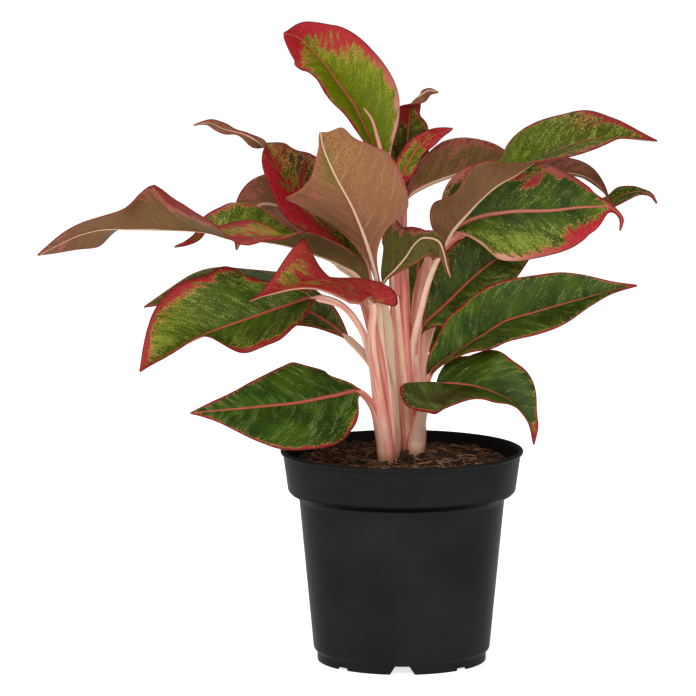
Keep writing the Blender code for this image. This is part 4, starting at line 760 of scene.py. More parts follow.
def leaf_material(look):
    """Grown leaf tissue under a waxy cuticle, with flecks and red that follow the side veins."""
    # Living leaf: IOR near 1.42 and a satin cuticle with a low specular level, so soft lights lie on it as a
    # faint sheen. Veins are about 0.5 mm wide, and the flecks are stretched along them as the tissue grew.
    made, t = fresh_material("living leaf with waxy cuticle")
    known = {word: put(t, "Attribute", attribute_name=word).outputs["Fac"] for word in (
        "along", "across", "edge", "stream", "seed", "green", "flush", "fleck", "pale", "dusk", "margin", "rib",
        "vein", "under")}
    slow = put(t, "Math", {0: known["across"], 1: 0.42}, operation="MULTIPLY")
    streak_at = put(t, "CombineXYZ", {0: known["stream"], 1: slow, 2: known["seed"]})
    speck_at = put(t, "CombineXYZ", {0: known["along"], 1: known["across"], 2: known["seed"]})
    patch, streak, speck, tongue = (
        put(t, "TexNoise", {"Vector": at, "Scale": scale, "Detail": detail, "Roughness": rough}).outputs[0]
        for at, scale, detail, rough in ((speck_at, 0.09, 3.0, 0.5), (streak_at, 0.75, 4.0, 0.65),
                                         (speck_at, 1.7, 2.0, 0.65), (streak_at, 0.3, 2.0, 0.55)))

    # side veins: distance to the nearest one, in millimetres along the blade
    lane = put(t, "Math", {0: known["stream"], 1: look.vein_spacing / MM / 2}, operation="PINGPONG")
    lane = put(t, "Math", {0: streak, 1: 0.8, 2: lane}, operation="MULTIPLY_ADD")
    veins = put(t, "MapRange", {"Value": lane, "From Min": 0.35, "From Max": 0.75, "To Min": 1.0, "To Max": 0.0},
                **SOFT)
    faint = put(t, "MapRange", {"Value": patch, "From Min": 0.42, "From Max": 0.56, "To Min": 0.15}, **SOFT)
    veins = put(t, "Math", {0: veins, 1: faint}, operation="MULTIPLY")
    veins = put(t, "Math", {0: veins, 1: known["vein"]}, operation="MULTIPLY")

    # where the flecks, the red, the border and the midrib are
    mottle = put(t, "Math", {0: speck, 1: 0.66}, operation="MULTIPLY")
    mottle = put(t, "Math", {0: streak, 1: 0.34, 2: mottle}, operation="MULTIPLY_ADD")
    uneven = put(t, "Math", {0: mottle, 1: 0.5}, operation="SUBTRACT")
    clusters = put(t, "Math", {0: tongue, 1: 0.5}, operation="SUBTRACT")
    clusters = put(t, "Math", {0: clusters, 1: 0.3, 2: mottle}, operation="MULTIPLY_ADD")
    clusters = put(t, "Math", {0: known["fleck"], 1: 0.17, 2: clusters}, operation="MULTIPLY_ADD")
    flecks = put(t, "MapRange", {"Value": clusters, "From Min": 0.59, "From Max": 0.66}, **SOFT)
    sway = -3.0
    for noisy, amount in ((patch, 1.4), (mottle, 2.2), (tongue, 2.4)):
        sway = put(t, "Math", {0: noisy, 1: amount, 2: sway}, operation="MULTIPLY_ADD")
    open_to_red = put(t, "MapRange", {"Value": known["flush"], "From Min": 0.04, "From Max": 0.35}, **SOFT)
    fringe = put(t, "MapRange", {"Value": known["flush"], "From Min": 0.06, "From Max": 0.4}, **SOFT)
    ragged = put(t, "Math", {0: sway, 1: open_to_red, 2: known["flush"]}, operation="MULTIPLY_ADD")
    reds = put(t, "MapRange", {"Value": ragged, "From Min": 0.43, "From Max": 0.52}, **SOFT)
    near_red = put(t, "MapRange", {"Value": ragged, "From Min": 0.22, "From Max": 0.4}, **SOFT)
    sparse = put(t, "MapRange", {"Value": ragged, "From Min": 0.45, "From Max": 0.85, "To Min": 0.85, "To Max": 0.06},
                 **SOFT)
    outline = put(t, "Math", {0: near_red, 1: put(t, "MapRange", {
        "Value": speck, "From Min": 0.44, "From Max": 0.54})}, operation="MULTIPLY")
    worn_edge = put(t, "Math", {0: uneven, 1: 3.0, 2: known["edge"]}, operation="MULTIPLY_ADD")
    off_rib = put(t, "Math", {0: known["across"]}, operation="ABSOLUTE")
    border, ribs = (put(t, "MapRange", {
        "Value": away, "To Min": 1.0, "To Max": 0.0,
        "From Min": put(t, "Math", {0: known[word], 1: near}, operation="MULTIPLY"),
        "From Max": put(t, "Math", {0: known[word], 1: far}, operation="MULTIPLY")}, **SOFT)
        for away, word, near, far in ((worn_edge, "margin", 0.6, 1.2), (off_rib, "rib", 0.7, 1.25)))
    edging = put(t, "Mix", {0: known["pale"], 6: look.border, 7: look.pale_pink}, **TINT)

    # the upper side
    shade = put(t, "MapRange", {"Value": patch, "From Min": 0.35, "From Max": 0.65}, **SOFT)
    green = put(t, "Mix", {0: shade, 6: look.deep_green, 7: look.leaf_green}, **TINT)
    # paler streaks along the side veins: partly the veins' own pale colour, partly a painted sheen in soft bands along
    # them
    pale_streaks_and_painted_sheen = put(t, "MapRange", {"Value": tongue, "From Min": 0.5, "From Max": 0.72, "To Max": 0.25}, **SOFT)
    pale_streaks_and_painted_sheen = put(t, "Math", {0: pale_streaks_and_painted_sheen, 1: known["vein"]}, operation="MULTIPLY")
    pale_streaks_and_painted_sheen = put(t, "Math", {0: veins, 1: 0.6, 2: pale_streaks_and_painted_sheen}, operation="MULTIPLY_ADD")
    deepen = put(t, "MapRange", {"Value": speck, "From Min": 0.35, "From Max": 0.6})
    red = put(t, "Mix", {0: deepen, 6: look.deep_red, 7: look.red}, **TINT)
    brown = put(t, "Math", {0: known["dusk"], 1: 0.7}, operation="MULTIPLY")
    for mask, tint in ((brown, look.dusk), (known["pale"], look.pale_pink)):
        red = put(t, "Mix", {0: mask, 6: red, 7: tint}, **TINT)
    greener = put(t, "Math", {0: known["green"], 1: 0.55}, operation="MULTIPLY")
    grain = put(t, "Mix", {0: greener, 6: look.fleck, 7: look.vein}, **TINT)
    grain = put(t, "Mix", {0: fringe, 6: grain, 7: look.gold}, **TINT)
    core = put(t, "MapRange", {"Value": off_rib, "From Min": 0.0, "From Max": known["rib"], "To Min": 1.0,
                               "To Max": 0.45})
    middle = put(t, "Mix", {0: known["pale"], 6: look.rib, 7: look.pale_pink}, **TINT)
    middle = put(t, "Mix", {0: core, 6: look.border, 7: middle}, **TINT)
    upper = put(t, "Mix", {0: known["green"], 6: look.olive, 7: green}, **TINT)
    for mask, tint in (
            (known["dusk"], look.dusk), (pale_streaks_and_painted_sheen, look.vein),
            (put(t, "Math", {0: outline, 1: 0.75}, operation="MULTIPLY"), look.gold), (reds, red),
            (put(t, "Math", {0: flecks, 1: sparse}, operation="MULTIPLY"), grain), (border, edging), (ribs, middle)):
        upper = put(t, "Mix", {0: mask, 6: upper, 7: tint}, **TINT)

    # the underside
    cloudy = put(t, "MapRange", {"Value": mottle, "From Min": 0.35, "From Max": 0.65, "To Max": 0.7})
    greenish = put(t, "Math", {0: uneven, 1: 2.2, 2: known["green"]}, operation="MULTIPLY_ADD")
    greenish = put(t, "MapRange", {"Value": greenish, "From Min": 0.3, "From Max": 0.7}, **SOFT)
    dots = put(t, "MapRange", {"Value": speck, "From Min": 0.46, "From Max": 0.4})
    dots = put(t, "Math", {0: dots, 1: known["fleck"]}, operation="MULTIPLY", use_clamp=True)
    glint = put(t, "Mix", {0: greenish, 6: look.gold, 7: look.fleck}, **TINT)
    blush = put(t, "MapRange", {"Value": ragged, "From Min": 0.75, "From Max": 1.2})
    blush = put(t, "Mix", {0: blush, 6: look.under_pink, 7: look.deep_red}, **TINT)
    lower = put(t, "Mix", {0: cloudy, 6: look.tan, 7: look.brown}, **TINT)
    for mask, share, tint in (
            (greenish, 0.85, look.under_olive), (dots, 0.7, look.dusk), (flecks, 0.36, glint),
            (known["dusk"], 1.0, look.dusk), (reds, 0.8, blush), (veins, 0.55, look.under_rib),
            (border, 0.7, edging), (ribs, 1.0, look.under_rib)):
        if share < 1:
            mask = put(t, "Math", {0: mask, 1: share}, operation="MULTIPLY")
        lower = put(t, "Mix", {0: mask, 6: lower, 7: tint}, **TINT)
    base = put(t, "Mix", {0: known["under"], 6: upper, 7: lower}, **TINT)

    # gloss and relief: veins a little sunk, tissue finely uneven
    rough = put(t, "Math", {0: mottle, 1: known["under"]}, operation="ADD")
    rough = put(t, "MapRange", {"Value": rough, "From Min": 0.3, "From Max": 1.6, "To Min": look.roughness - 0.04,
                                "To Max": look.roughness + 0.2})
    relief = put(t, "Math", {0: veins, 1: -0.22}, operation="MULTIPLY")
    relief = put(t, "Math", {0: speck, 1: 0.12, 2: relief}, operation="MULTIPLY_ADD")
    bump = put(t, "Bump", {"Height": relief, "Distance": MM, "Strength": 0.7})
    skin = put(t, "BsdfPrincipled", {"Base Color": base, "Roughness": rough, "Normal": bump, "IOR": 1.42,
                                     "Specular IOR Level": 0.17})
    put(t, "OutputMaterial", {"Surface": skin})
    return made


def pattern_field(look, prefix, facts, word):
    """How strong one of a leaf's colours is at each point of one skin."""
    full = prefix + word
    value = np.full(facts["s"].shape, float(look.get(full, 0.0 if prefix else look.get(word, 0.0))))
    if word == "fleck":
        value += look[prefix + "rim"] * np.exp(-facts["edge"] / 4.0)
    if word == "flush":
        value += 0.8 * np.exp(-(facts["edge"] / look[prefix + "brim"])**2)
    for where, s, u, reach_s, reach_u, amount in look["spots"]:
        if where == full:
            value += amount * np.exp(-((facts["s"] - s) / reach_s)**2 - ((facts["u"] - u) / reach_u)**2)
    return value


class EVERGREEN_OT_leaves(bpy.types.Operator):
    """Build every leaf blade with its midrib, side veins and red and green pattern"""
    bl_idname = "evergreen.leaves"
    bl_label = "Leaf blades"
    bl_options = {"REGISTER", "UNDO"}

    def execute(self, context):
        look = context.scene.evergreen_leaf
        material = leaf_material(look)
        for order, (name, leaf) in enumerate(LEAVES.items()):
            pattern = {**PLAIN, **PATTERNS.get(name, {})}
            place, normal, facts = blade_form(leaf, order, look.rows, look.columns, look.vein_spacing / MM)
            s = facts["s"]
            inner = np.clip(facts["edge"] / 3.0, 0, 1)
            thick = look.thickness / MM * (0.3 + 0.2 * inner)
            ridge = look.rib_height / MM * (0.25 + 0.75 * (1 - s)**0.9) * np.exp(-(facts["across"] / RIDGE_HALF)**2)
            quilt = QUILT * np.cos(2 * math.pi * facts["stream"] * MM / look.vein_spacing) * np.clip(
                facts["edge"] / 6.0, 0, 1) * np.clip(np.abs(facts["across"]) / 4.0, 0, 1)
            mesh = skin_mesh(name + "_blade", place, normal, thick - 0.4 * ridge - quilt, thick + ridge + quilt)
            for word in ("along", "across", "edge", "stream"):
                keep(mesh, word, np.stack([facts[word]] * 2))
            keep(mesh, "under", np.stack([s * 0, s * 0 + 1]))
            for word, value in (("seed", SEED_STEP * order), ("margin", pattern["margin"]), ("vein", pattern["vein"])):
                keep(mesh, word, np.stack([s * 0 + value] * 2))
            span = (facts["edge"] + np.abs(facts["across"]))[:, [0, -1]].sum(axis=1)[:, None]
            rib = np.minimum(pattern["rib"] * (0.25 + 0.95 * (1 - s)**0.8), 0.11 * span)
            keep(mesh, "rib", np.stack([rib, np.minimum(rib * pattern["under_rib"], 0.11 * span)]))
            for word in ("green", "flush", "fleck", "pale", "dusk"):
                keep(mesh, word, np.stack([pattern_field(pattern, "", facts, word),
                                           pattern_field(pattern, "under_", facts, word)]))
            add_piece(name + "_blade", mesh, material, "leaf", name)
        return {"FINISHED"}


def stem_material(look):
    """Fleshy leaf stalks with a smooth skin, pink with coral stripes along them."""
    # Living stalk: IOR near 1.4 and a satin skin. Stripes are 0.5 to 1.5 mm wide and run along the stalk;
    # the foot is stained brown over about 7 mm where it stands in damp peat.
    made, t = fresh_material("fleshy stalk skin")
    known = {word: put(t, "Attribute", attribute_name=word).outputs["Fac"]
             for word in ("along", "around", "seed", "blush", "paleness", "foot")}
    stripe, cloud = (put(t, "TexNoise", {"Vector": put(t, "CombineXYZ", {
        0: known["around"], 1: put(t, "Math", {0: known["along"], 1: pace}, operation="MULTIPLY"), 2: known["seed"]}),
        "Scale": scale, "Detail": detail, "Roughness": rough}).outputs[0]
        for pace, scale, detail, rough in ((0.03, 0.55, 3.0, 0.6), (0.3, 0.25, 2.0, 0.5)))
    bloom = put(t, "Math", {0: cloud, 1: known["blush"]}, operation="ADD")
    bloom = put(t, "MapRange", {"Value": bloom, "From Min": 0.45, "From Max": 1.1}, **SOFT)
    lines = put(t, "Math", {0: known["blush"], 1: 0.22, 2: stripe}, operation="MULTIPLY_ADD")
    lines = put(t, "MapRange", {"Value": lines, "From Min": 0.6, "From Max": 0.7}, **SOFT)
    lines = put(t, "Math", {0: lines, 1: 0.62}, operation="MULTIPLY")
    dirt = put(t, "Math", {0: cloud, 1: 0.6}, operation="ADD")
    dirt = put(t, "Math", {0: dirt, 1: known["foot"]}, operation="MULTIPLY")
    flesh = put(t, "Mix", {0: known["paleness"], 6: look.cream, 7: look.pale_green}, **TINT)
    for mask, tint in ((bloom, look.pink), (lines, look.coral), (dirt, look.stain)):
        flesh = put(t, "Mix", {0: mask, 6: flesh, 7: tint}, **TINT)
    bump = put(t, "Bump", {"Height": stripe, "Distance": MM, "Strength": 0.25})
    rough = put(t, "MapRange", {"Value": cloud, "From Min": 0.3, "From Max": 0.7, "To Min": 0.42, "To Max": 0.55})
    skin = put(t, "BsdfPrincipled", {"Base Color": flesh, "Roughness": rough, "Normal": bump, "IOR": 1.4})
    put(t, "OutputMaterial", {"Surface": skin})
    return made


def tube_grid(line, outward, half_wide, half_deep, sides, groove):
    """Rings of points along a line: oval across, with a flat or hollow side away from outward."""
    ahead = unit(np.gradient(line, axis=0))
    deep = unit(outward - np.sum(ahead * outward, axis=1)[:, None] * ahead)
    wide = np.cross(ahead, deep)
    angle = np.linspace(0, 2 * math.pi, sides, endpoint=False)
    c, h = np.cos(angle), np.sin(angle)
    depth = np.where(h[None, :] > 0, h[None, :], h[None, :] * (1 - groove[:, None] * np.abs(h[None, :])))
    rings = (line[:, None] + wide[:, None] * (half_wide[:, None] * c[None, :])[..., None]
             + deep[:, None] * (half_deep[:, None] * depth)[..., None])
    return rings, angle


def tubes_mesh(name, tubes):
    """One mesh of capped tubes, each a grid of rings with the numbers that its material reads."""
    points, faces, numbers = [], [], {}
    start = 0
    for rings, facts in tubes:
        rows, sides = rings.shape[:2]
        index = start + np.arange(rows * sides).reshape(rows, sides)
        a, b = index[:-1], index[1:]
        faces += np.stack([a, np.roll(a, -1, 1), np.roll(b, -1, 1), b], axis=-1).reshape(-1, 4).tolist()
        faces.append(index[0, ::-1].tolist())
        faces.append(index[-1].tolist())
        points.append(rings.reshape(-1, 3))
        for word, value in facts.items():
            numbers.setdefault(word, []).append(np.broadcast_to(value, (rows, sides)).ravel())
        start += rows * sides
    mesh = closed_mesh(name, np.concatenate(points), faces)
    for word, value in numbers.items():
        keep(mesh, word, np.concatenate(value))
    return mesh


def round_tube(points, sides, wide, deep):
    """A tube on points that each hold a radius, which wide and deep make smaller or larger."""
    points = np.asarray(points, float)
    keys = lengths(points[:, :3])
    at = np.linspace(0, keys[-1], TUBE_ROWS)
    line = smooth(keys, points, at)
    rings, angle = tube_grid(line[:, :3], np.array([0.0, -1.0, 0.0]), line[:, 3] * wide, line[:, 3] * deep, sides,
                             np.zeros(TUBE_ROWS))
    return rings, angle, at, line[:, 2]


def stain_at(height):
    """How stained a stalk is at a height, from all at the soil to nothing."""
    return np.clip((STAIN_TOP_Z - height) / STAIN_REACH, 0, 1)


def cane_tube(name, sides):
    """The cane in the middle of a shoot."""
    rings, angle, at, height = round_tube(CANES[name], sides, CANE_SLIM, CANE_SLIM)
    return rings, {"along": at[:, None], "around": (angle * 4.8)[None, :], "seed": 11.0, "blush": 0.3,
                   "paleness": 0.6 if name == "shoot_left" else 0.1, "foot": stain_at(height)[:, None]}


def spike_tube(sides):
    """The rolled young leaf."""
    rings, angle, at, _ = round_tube(SPIKE, sides, 1.05, 1.0)
    return rings, {"along": at[:, None], "around": (angle * 1.4)[None, :], "seed": 5.0, "blush": 0.55,
                   "paleness": 0.0, "foot": 0.0}


def stalk_tube(name, leaf, order, look, sides):
    """One leaf stalk, from its sheath round the cane to a little way into the blade."""
    points = np.asarray(leaf["line"], float)
    keys = lengths(points)
    end = keys[leaf["stalk"]]
    cane = np.asarray(CANES[name], float)
    goal = smooth(keys, points, np.array([0.6 * end]))[0]
    base = points[0]
    middle = np.array([np.interp(base[2], cane[:, 2], cane[:, k]) for k in (0, 1)])
    outward = np.array([goal[0] - middle[0], goal[1] - middle[1], 0.0])
    outward = outward / max(np.linalg.norm(outward), 1e-6)
    at = np.linspace(0, end + STALK_INTO_BLADE, STALK_ROWS)
    line = smooth(keys, points, at)
    low = np.exp(-at / 16.0)
    radius = np.interp(line[:, 2], cane[:, 2], cane[:, 3])
    line = line + outward[None, :] * (0.25 * radius * low)[:, None]
    under = np.linspace(0.0, 1.0, 9)[:-1]
    foot = line[0, :2] + 0.15 * outward[:2] * radius[0]
    lead = [(foot[0] * (1 - t) + line[0, 0] * t, foot[1] * (1 - t) + line[0, 1] * t,
             STALK_LOW_Z + (line[0, 2] - STALK_LOW_Z) * t) for t in under]
    line = np.concatenate([np.array(lead), line])
    for _ in range(STALK_SMOOTHING):
        line[2:22] = (line[1:21] + 2 * line[2:22] + line[3:23]) / 4
    far = np.concatenate([-8.0 + 8.0 * under, at])
    run = np.clip(far / (end + STALK_INTO_BLADE), 0, 1)
    wrap = np.exp(-np.clip(far, 0, None) / (0.34 * end + 6))
    half_wide = STALK_HALF + (look.sheath / MM / 2 - STALK_HALF) * wrap + 0.35 * (1 - run)
    half_wide *= 0.78 + 0.22 * np.clip((line[:, 2] - 97) / 14, 0, 1)
    half_deep = STALK_DEEP + 1.5 * wrap
    taper = np.clip((1.0 - run) / 0.05, 0.45, 1)
    rings, angle = tube_grid(line, outward, half_wide * taper, half_deep * taper, sides, 0.35 + 0.3 * (1 - wrap))
    return rings, {"along": far[:, None], "around": (angle[None, :] * half_wide[:, None]), "seed": 7.3 * order + 3,
                   "blush": (0.2 + 0.4 * math.sin(2.4 * order) + (0 if name == "shoot_left" else 0.15)
                             + 0.65 * np.abs(np.cos(angle))[None, :]**6 * wrap[:, None]),
                   "paleness": max(0.0, 0.22 + 0.4 * math.sin(1.9 * order)) if name == "shoot_left" else 0.08,
                   "foot": stain_at(line[:, 2])[:, None]}


class EVERGREEN_OT_shoots(bpy.types.Operator):
    """Build both shoots: a cane each, with the leaf stalks that sheath it and the rolled young leaf"""
    bl_idname = "evergreen.shoots"
    bl_label = "Canes and stalks"
    bl_options = {"REGISTER", "UNDO"}

    def execute(self, context):
        look = context.scene.evergreen_shoot
        material = stem_material(look)
        for name in CANES:
            tubes = [cane_tube(name, look.sides + 8)]
            for order, leaf in enumerate(LEAVES.values()):
                if (leaf["line"][0][0] < 0) == (name == "shoot_left"):
                    tubes.append(stalk_tube(name, leaf, order, look, look.sides))
            if name == "shoot_right":
                tubes.append(spike_tube(look.sides))
            add_piece(name + "_stalks", tubes_mesh(name + "_stalks", tubes), material, name, name)
        return {"FINISHED"}


def pot_material(look):
    """Injection-moulded polypropylene, black all through, with a fine matt grain from the mould."""
    # Polypropylene: IOR 1.49 and a roughness of 0.36 to 0.5, with a specular level near nothing, because the
    # mould's grain leaves the pot almost without shine. That grain is finer than the render shows, so it is
    # drawn at about a millimetre.
    made, t = fresh_material("moulded black polypropylene")
    place = put(t, "TexCoord").outputs["Object"]
    grain, cloud = (put(t, "TexNoise", {"Vector": place, "Scale": scale, "Detail": detail}).outputs[0]
                    for scale, detail in ((1.0 / look.grain, 2.0), (28.0, 3.0)))
    rubbed = put(t, "MapRange", {"Value": cloud, "From Min": 0.4, "From Max": 0.75})
    # painted shade: the step under the band is darkened by its height, where the band shades it
    height = put(t, "SeparateXYZ", {0: place}).outputs["Z"]
    off_step = put(t, "Math", {0: height, 1: STEP_Z * MM}, operation="SUBTRACT")
    off_step = put(t, "Math", {0: off_step}, operation="ABSOLUTE")
    painted_shade_mask = put(t, "MapRange", {"Value": off_step, "From Min": 0.9 * MM, "From Max": 2.3 * MM, "To Min": 1.0,
                                  "To Max": 0.0}, **SOFT)
    base = put(t, "Mix", {0: rubbed, 6: look.black, 7: look.worn}, **TINT)
    base = put(t, "Mix", {0: painted_shade_mask, 6: base, 7: look.painted_step_shade}, **TINT)
    rough = put(t, "Math", {0: cloud, 1: grain}, operation="ADD")
    rough = put(t, "MapRange", {"Value": rough, "From Min": 0.7, "From Max": 1.3, "To Min": 0.36, "To Max": 0.5})
    bump = put(t, "Bump", {"Height": grain, "Distance": 0.05 * MM, "Strength": 0.6})
    skin = put(t, "BsdfPrincipled", {"Base Color": base, "Roughness": rough, "Normal": bump, "IOR": 1.49,
                                     "Specular IOR Level": 0.02})
    put(t, "OutputMaterial", {"Surface": skin})
    return made


def turned_mesh(name, profile, sides):
    """A line of (radius, height) pairs turned about the Z axis."""
    mesh = bpy.data.meshes.new(name)
    shape = bmesh.new()
    corners = [shape.verts.new((r * MM, 0, z * MM)) for r, z in profile]
    edges = [shape.edges.new((a, b)) for a, b in zip(corners, corners[1:])]
    bmesh.ops.spin(shape, geom=corners + edges, cent=(0, 0, 0), axis=(0, 0, 1), angle=2 * math.pi, steps=sides,
                   use_merge=True)
    bmesh.ops.remove_doubles(shape, verts=shape.verts, dist=0.00001)
    bmesh.ops.recalc_face_normals(shape, faces=shape.faces)
    shape.to_mesh(mesh)
    shape.free()
    return mesh


def rounded(profile, places, radius, steps=4):
    """A profile with the corners at these places rounded off."""
    made = []
    for i, point in enumerate(profile):
        if i not in places:
            made.append(point)
            continue
        p, a, b = (np.asarray(profile[k], float) for k in (i, i - 1, i + 1))
        to_a, to_b = a - p, b - p
        cut = min(radius, 0.45 * np.linalg.norm(to_a), 0.45 * np.linalg.norm(to_b))
        start, end = p + to_a / np.linalg.norm(to_a) * cut, p + to_b / np.linalg.norm(to_b) * cut
        for k in range(steps + 1):
            f = k / steps
            made.append(tuple((1 - f)**2 * start + 2 * f * (1 - f) * p + f**2 * end))
    return made


def pot_profile():
    """The pot's section, from the middle of its inside, over the lip and down to the foot."""
    bead = [(POT_LIP_R - BEAD_R + BEAD_R * math.cos(a), POT_HEIGHT - BEAD_R + BEAD_R * math.sin(a))
            for a in np.linspace(math.radians(150), math.radians(-100), 14)]
    shell = [
        (0, WALL), (PAD_R - 0.8, WALL), (PAD_R + 3.4, FLOOR_Z + WALL), (BODY_LOW_R - WALL - 1.6, FLOOR_Z + WALL),
        (BODY_LOW_R - WALL, 8.2), (BODY_TOP_R - WALL, BODY_TOP_Z + 0.8), (BODY_TOP_R - WALL + 1.0, 83.6),
        (BAND_LOW_R - WALL - 1.5, 85.5), (BAND_LOW_R - WALL, BAND_LOW_Z + 1.6), (BAND_TOP_R - WALL, POT_HEIGHT - 2.2),
    ]
    shell += bead
    first = len(shell)
    shell += [
        (BAND_TOP_R + 0.1, POT_HEIGHT - 3.2), (BAND_LOW_R, BAND_LOW_Z), (BAND_LOW_R - 1.4, 83.8),
        (BODY_TOP_R + 1.4, 82.9), (BODY_TOP_R, BODY_TOP_Z), (BODY_LOW_R, BODY_LOW_Z), (FOOT_R, FOOT_STEP_Z),
        (FOOT_R, 0), (FOOT_R - FOOT_WALL, 0), (FOOT_R - FOOT_WALL, FLOOR_Z), (PAD_R + 4.3, FLOOR_Z), (PAD_R, 0),
        (0, 0),
    ]
    return rounded(shell, {first + 1, first + 3, first + 4, first + 5, first + 6, first + 7, first + 8}, EDGE_ROUND)


def block_mesh(size, narrow=1.0):
    """A block with the given sizes, its top narrower across Y."""
    mesh = bpy.data.meshes.new("cutter")
    shape = bmesh.new()
    bmesh.ops.create_cube(shape, size=1.0)
    for corner in shape.verts:
        squeeze = narrow if corner.co.z > 0 else 1.0
        corner.co = (corner.co.x * size[0] * MM, corner.co.y * size[1] * squeeze * MM, corner.co.z * size[2] * MM)
    shape.to_mesh(mesh)
    shape.free()
    return mesh


def cut_away(mesh, blocks):
    """The mesh with blocks cut from it, each given with its radius, height and angle about the Z axis."""
    item = bpy.data.objects.new("to_cut", mesh)
    bpy.context.scene.collection.objects.link(item)
    cutters = bpy.data.collections.new("cutters")
    for block, radius, height, angle in blocks:
        cutter = bpy.data.objects.new("cutter", block)
        cutter.matrix_world = Matrix.Rotation(angle, 4, "Z") @ Matrix.Translation((radius * MM, 0, height * MM))
        cutters.objects.link(cutter)
    bpy.context.scene.collection.children.link(cutters)
    step = item.modifiers.new("cut", "BOOLEAN")
    step.operation = "DIFFERENCE"
    step.operand_type = "COLLECTION"
    step.collection = cutters
    step.solver = "MANIFOLD"
    bpy.context.view_layer.update()
    made = bpy.data.meshes.new_from_object(item.evaluated_get(bpy.context.evaluated_depsgraph_get()))
    for other in [item, *cutters.objects]:
        bpy.data.objects.remove(other)
    bpy.data.collections.remove(cutters)
    return made


class EVERGREEN_OT_pot(bpy.types.Operator):
    """Build the nursery pot with its rolled lip, rim band, notched foot ring and drain slots"""
    bl_idname = "evergreen.pot"
    bl_label = "Nursery pot"
    bl_options = {"REGISTER", "UNDO"}

    def execute(self, context):
        look = context.scene.evergreen_pot
        full = block_mesh((8, NOTCH_WIDE, NOTCH_HIGH + 2), NOTCH_NARROW / NOTCH_WIDE)
        low = block_mesh((8, NOTCH_LOW[0], NOTCH_LOW[1] + 2), 0.9)
        slot = block_mesh((SLOT_LONG, SLOT_WIDE, 8))
        blocks = []
        for k in range(NOTCH_COUNT):
            notch, high = (full, NOTCH_HIGH) if k % (NOTCH_COUNT // 2) == 0 else (low, NOTCH_LOW[1])
            blocks.append((notch, FOOT_R, high / 2 - 1, math.radians(-90 + 360 / NOTCH_COUNT * k)))
        blocks += [(slot, SLOT_R, FLOOR_Z, math.radians(-67.5 + 360 / SLOT_COUNT * k)) for k in range(SLOT_COUNT)]
        mesh = cut_away(turned_mesh("nursery_pot", pot_profile(), look.sides), blocks)
        mesh.name = "nursery_pot"
        mesh.shade_smooth()
        mesh.set_sharp_from_angle(angle=math.radians(POT_SHARP))
        add_piece("nursery_pot", mesh, pot_material(look), "pot", "pot")
        return {"FINISHED"}


def soil_height(x, y):
    """Height of the lumpy soil: a little higher at the back and round the shoots."""
    r = math.hypot(x, y)
    lumps = (0.9 * math.sin(0.21 * x + 1.1) * math.cos(0.17 * y - 0.4) + 0.6 * math.sin(0.47 * x - 0.9 + 0.3 * y)
             + 0.35 * math.cos(0.9 * y + 0.5 * x))
    mound = 1.6 * math.exp(-((x - 0.5)**2 + (y - 8)**2) / 500.0)
    return SOIL_TOP_Z + mound + 0.045 * y + lumps * (1 - 0.6 * r / SOIL_R) - 1.4 * (r / SOIL_R)**6


def soil_material(look):
    """Milled coco peat with loose crumbs and coir fibres, darker where its bumped surface is low."""
    # Coco peat: crumbs mostly 1 to 5 mm and fibres 0.2 to 0.4 mm thick, dull all over, so roughness near 1.
    made, t = fresh_material("milled coco peat")
    place = put(t, "TexCoord").outputs["Object"]
    pale = put(t, "Attribute", attribute_name="pale").outputs["Fac"]
    crumb, cloud = (
        put(t, "TexNoise", {"Vector": place, "Scale": scale, "Detail": detail, "Roughness": rough}).outputs[0]
        for scale, detail, rough in ((420.0, 5.0, 0.7), (90.0, 2.0, 0.5)))
    # darker peat where the crumb bump is low, lighter peat on its high crumbs
    crumbly = put(t, "Math", {0: cloud, 1: 0.5, 2: crumb}, operation="MULTIPLY_ADD")
    base = look.dark
    for value, low, high, tint in (
            (crumbly, 0.6, 0.95, look.peat), (pale, 0.0, 0.5, look.dry), (pale, 0.5, 1.0, look.coir)):
        mask = put(t, "MapRange", {"Value": value, "From Min": low, "From Max": high})
        base = put(t, "Mix", {0: mask, 6: base, 7: tint}, **TINT)
    bump = put(t, "Bump", {"Height": crumb, "Distance": 1.2 * MM, "Strength": 0.9})
    skin = put(t, "BsdfPrincipled", {"Base Color": base, "Normal": bump, "Roughness": 0.92, "IOR": 1.45})
    put(t, "OutputMaterial", {"Surface": skin})
    return made


def crumb_shapes(rng):
    """A few rough little lumps that the loose crumbs are copies of."""
    made = []
    for _ in range(6):
        shape = bmesh.new()
        bmesh.ops.create_icosphere(shape, subdivisions=1, radius=1.0)
        for corner in shape.verts:
            corner.co *= 0.72 + 0.55 * rng.random()
        made.append(([tuple(v.co) for v in shape.verts], [[v.index for v in f.verts] for f in shape.faces]))
        shape.free()
    return made


def fibre_line(rng, x, y, straw=False):
    """A wiry line that wanders over the soil, or a stiffer and longer straw."""
    long = STRAW_LONG if straw else rng.uniform(5, 19)
    heading = rng.uniform(0, 2 * math.pi)
    bend = rng.gauss(0, 0.4)
    lift = rng.uniform(0.1, 1.6)
    line = []
    for k in range(FIBRE_POINTS):
        f = k / (FIBRE_POINTS - 1)
        line.append((x, y, soil_height(x, y) + 0.35 + lift * math.sin(math.pi * f)))
        heading += (bend + rng.gauss(0, 0.22)) * (0.15 if straw else 1.0)
        x += math.cos(heading) * long / FIBRE_POINTS
        y += math.sin(heading) * long / FIBRE_POINTS
    return np.array(line)


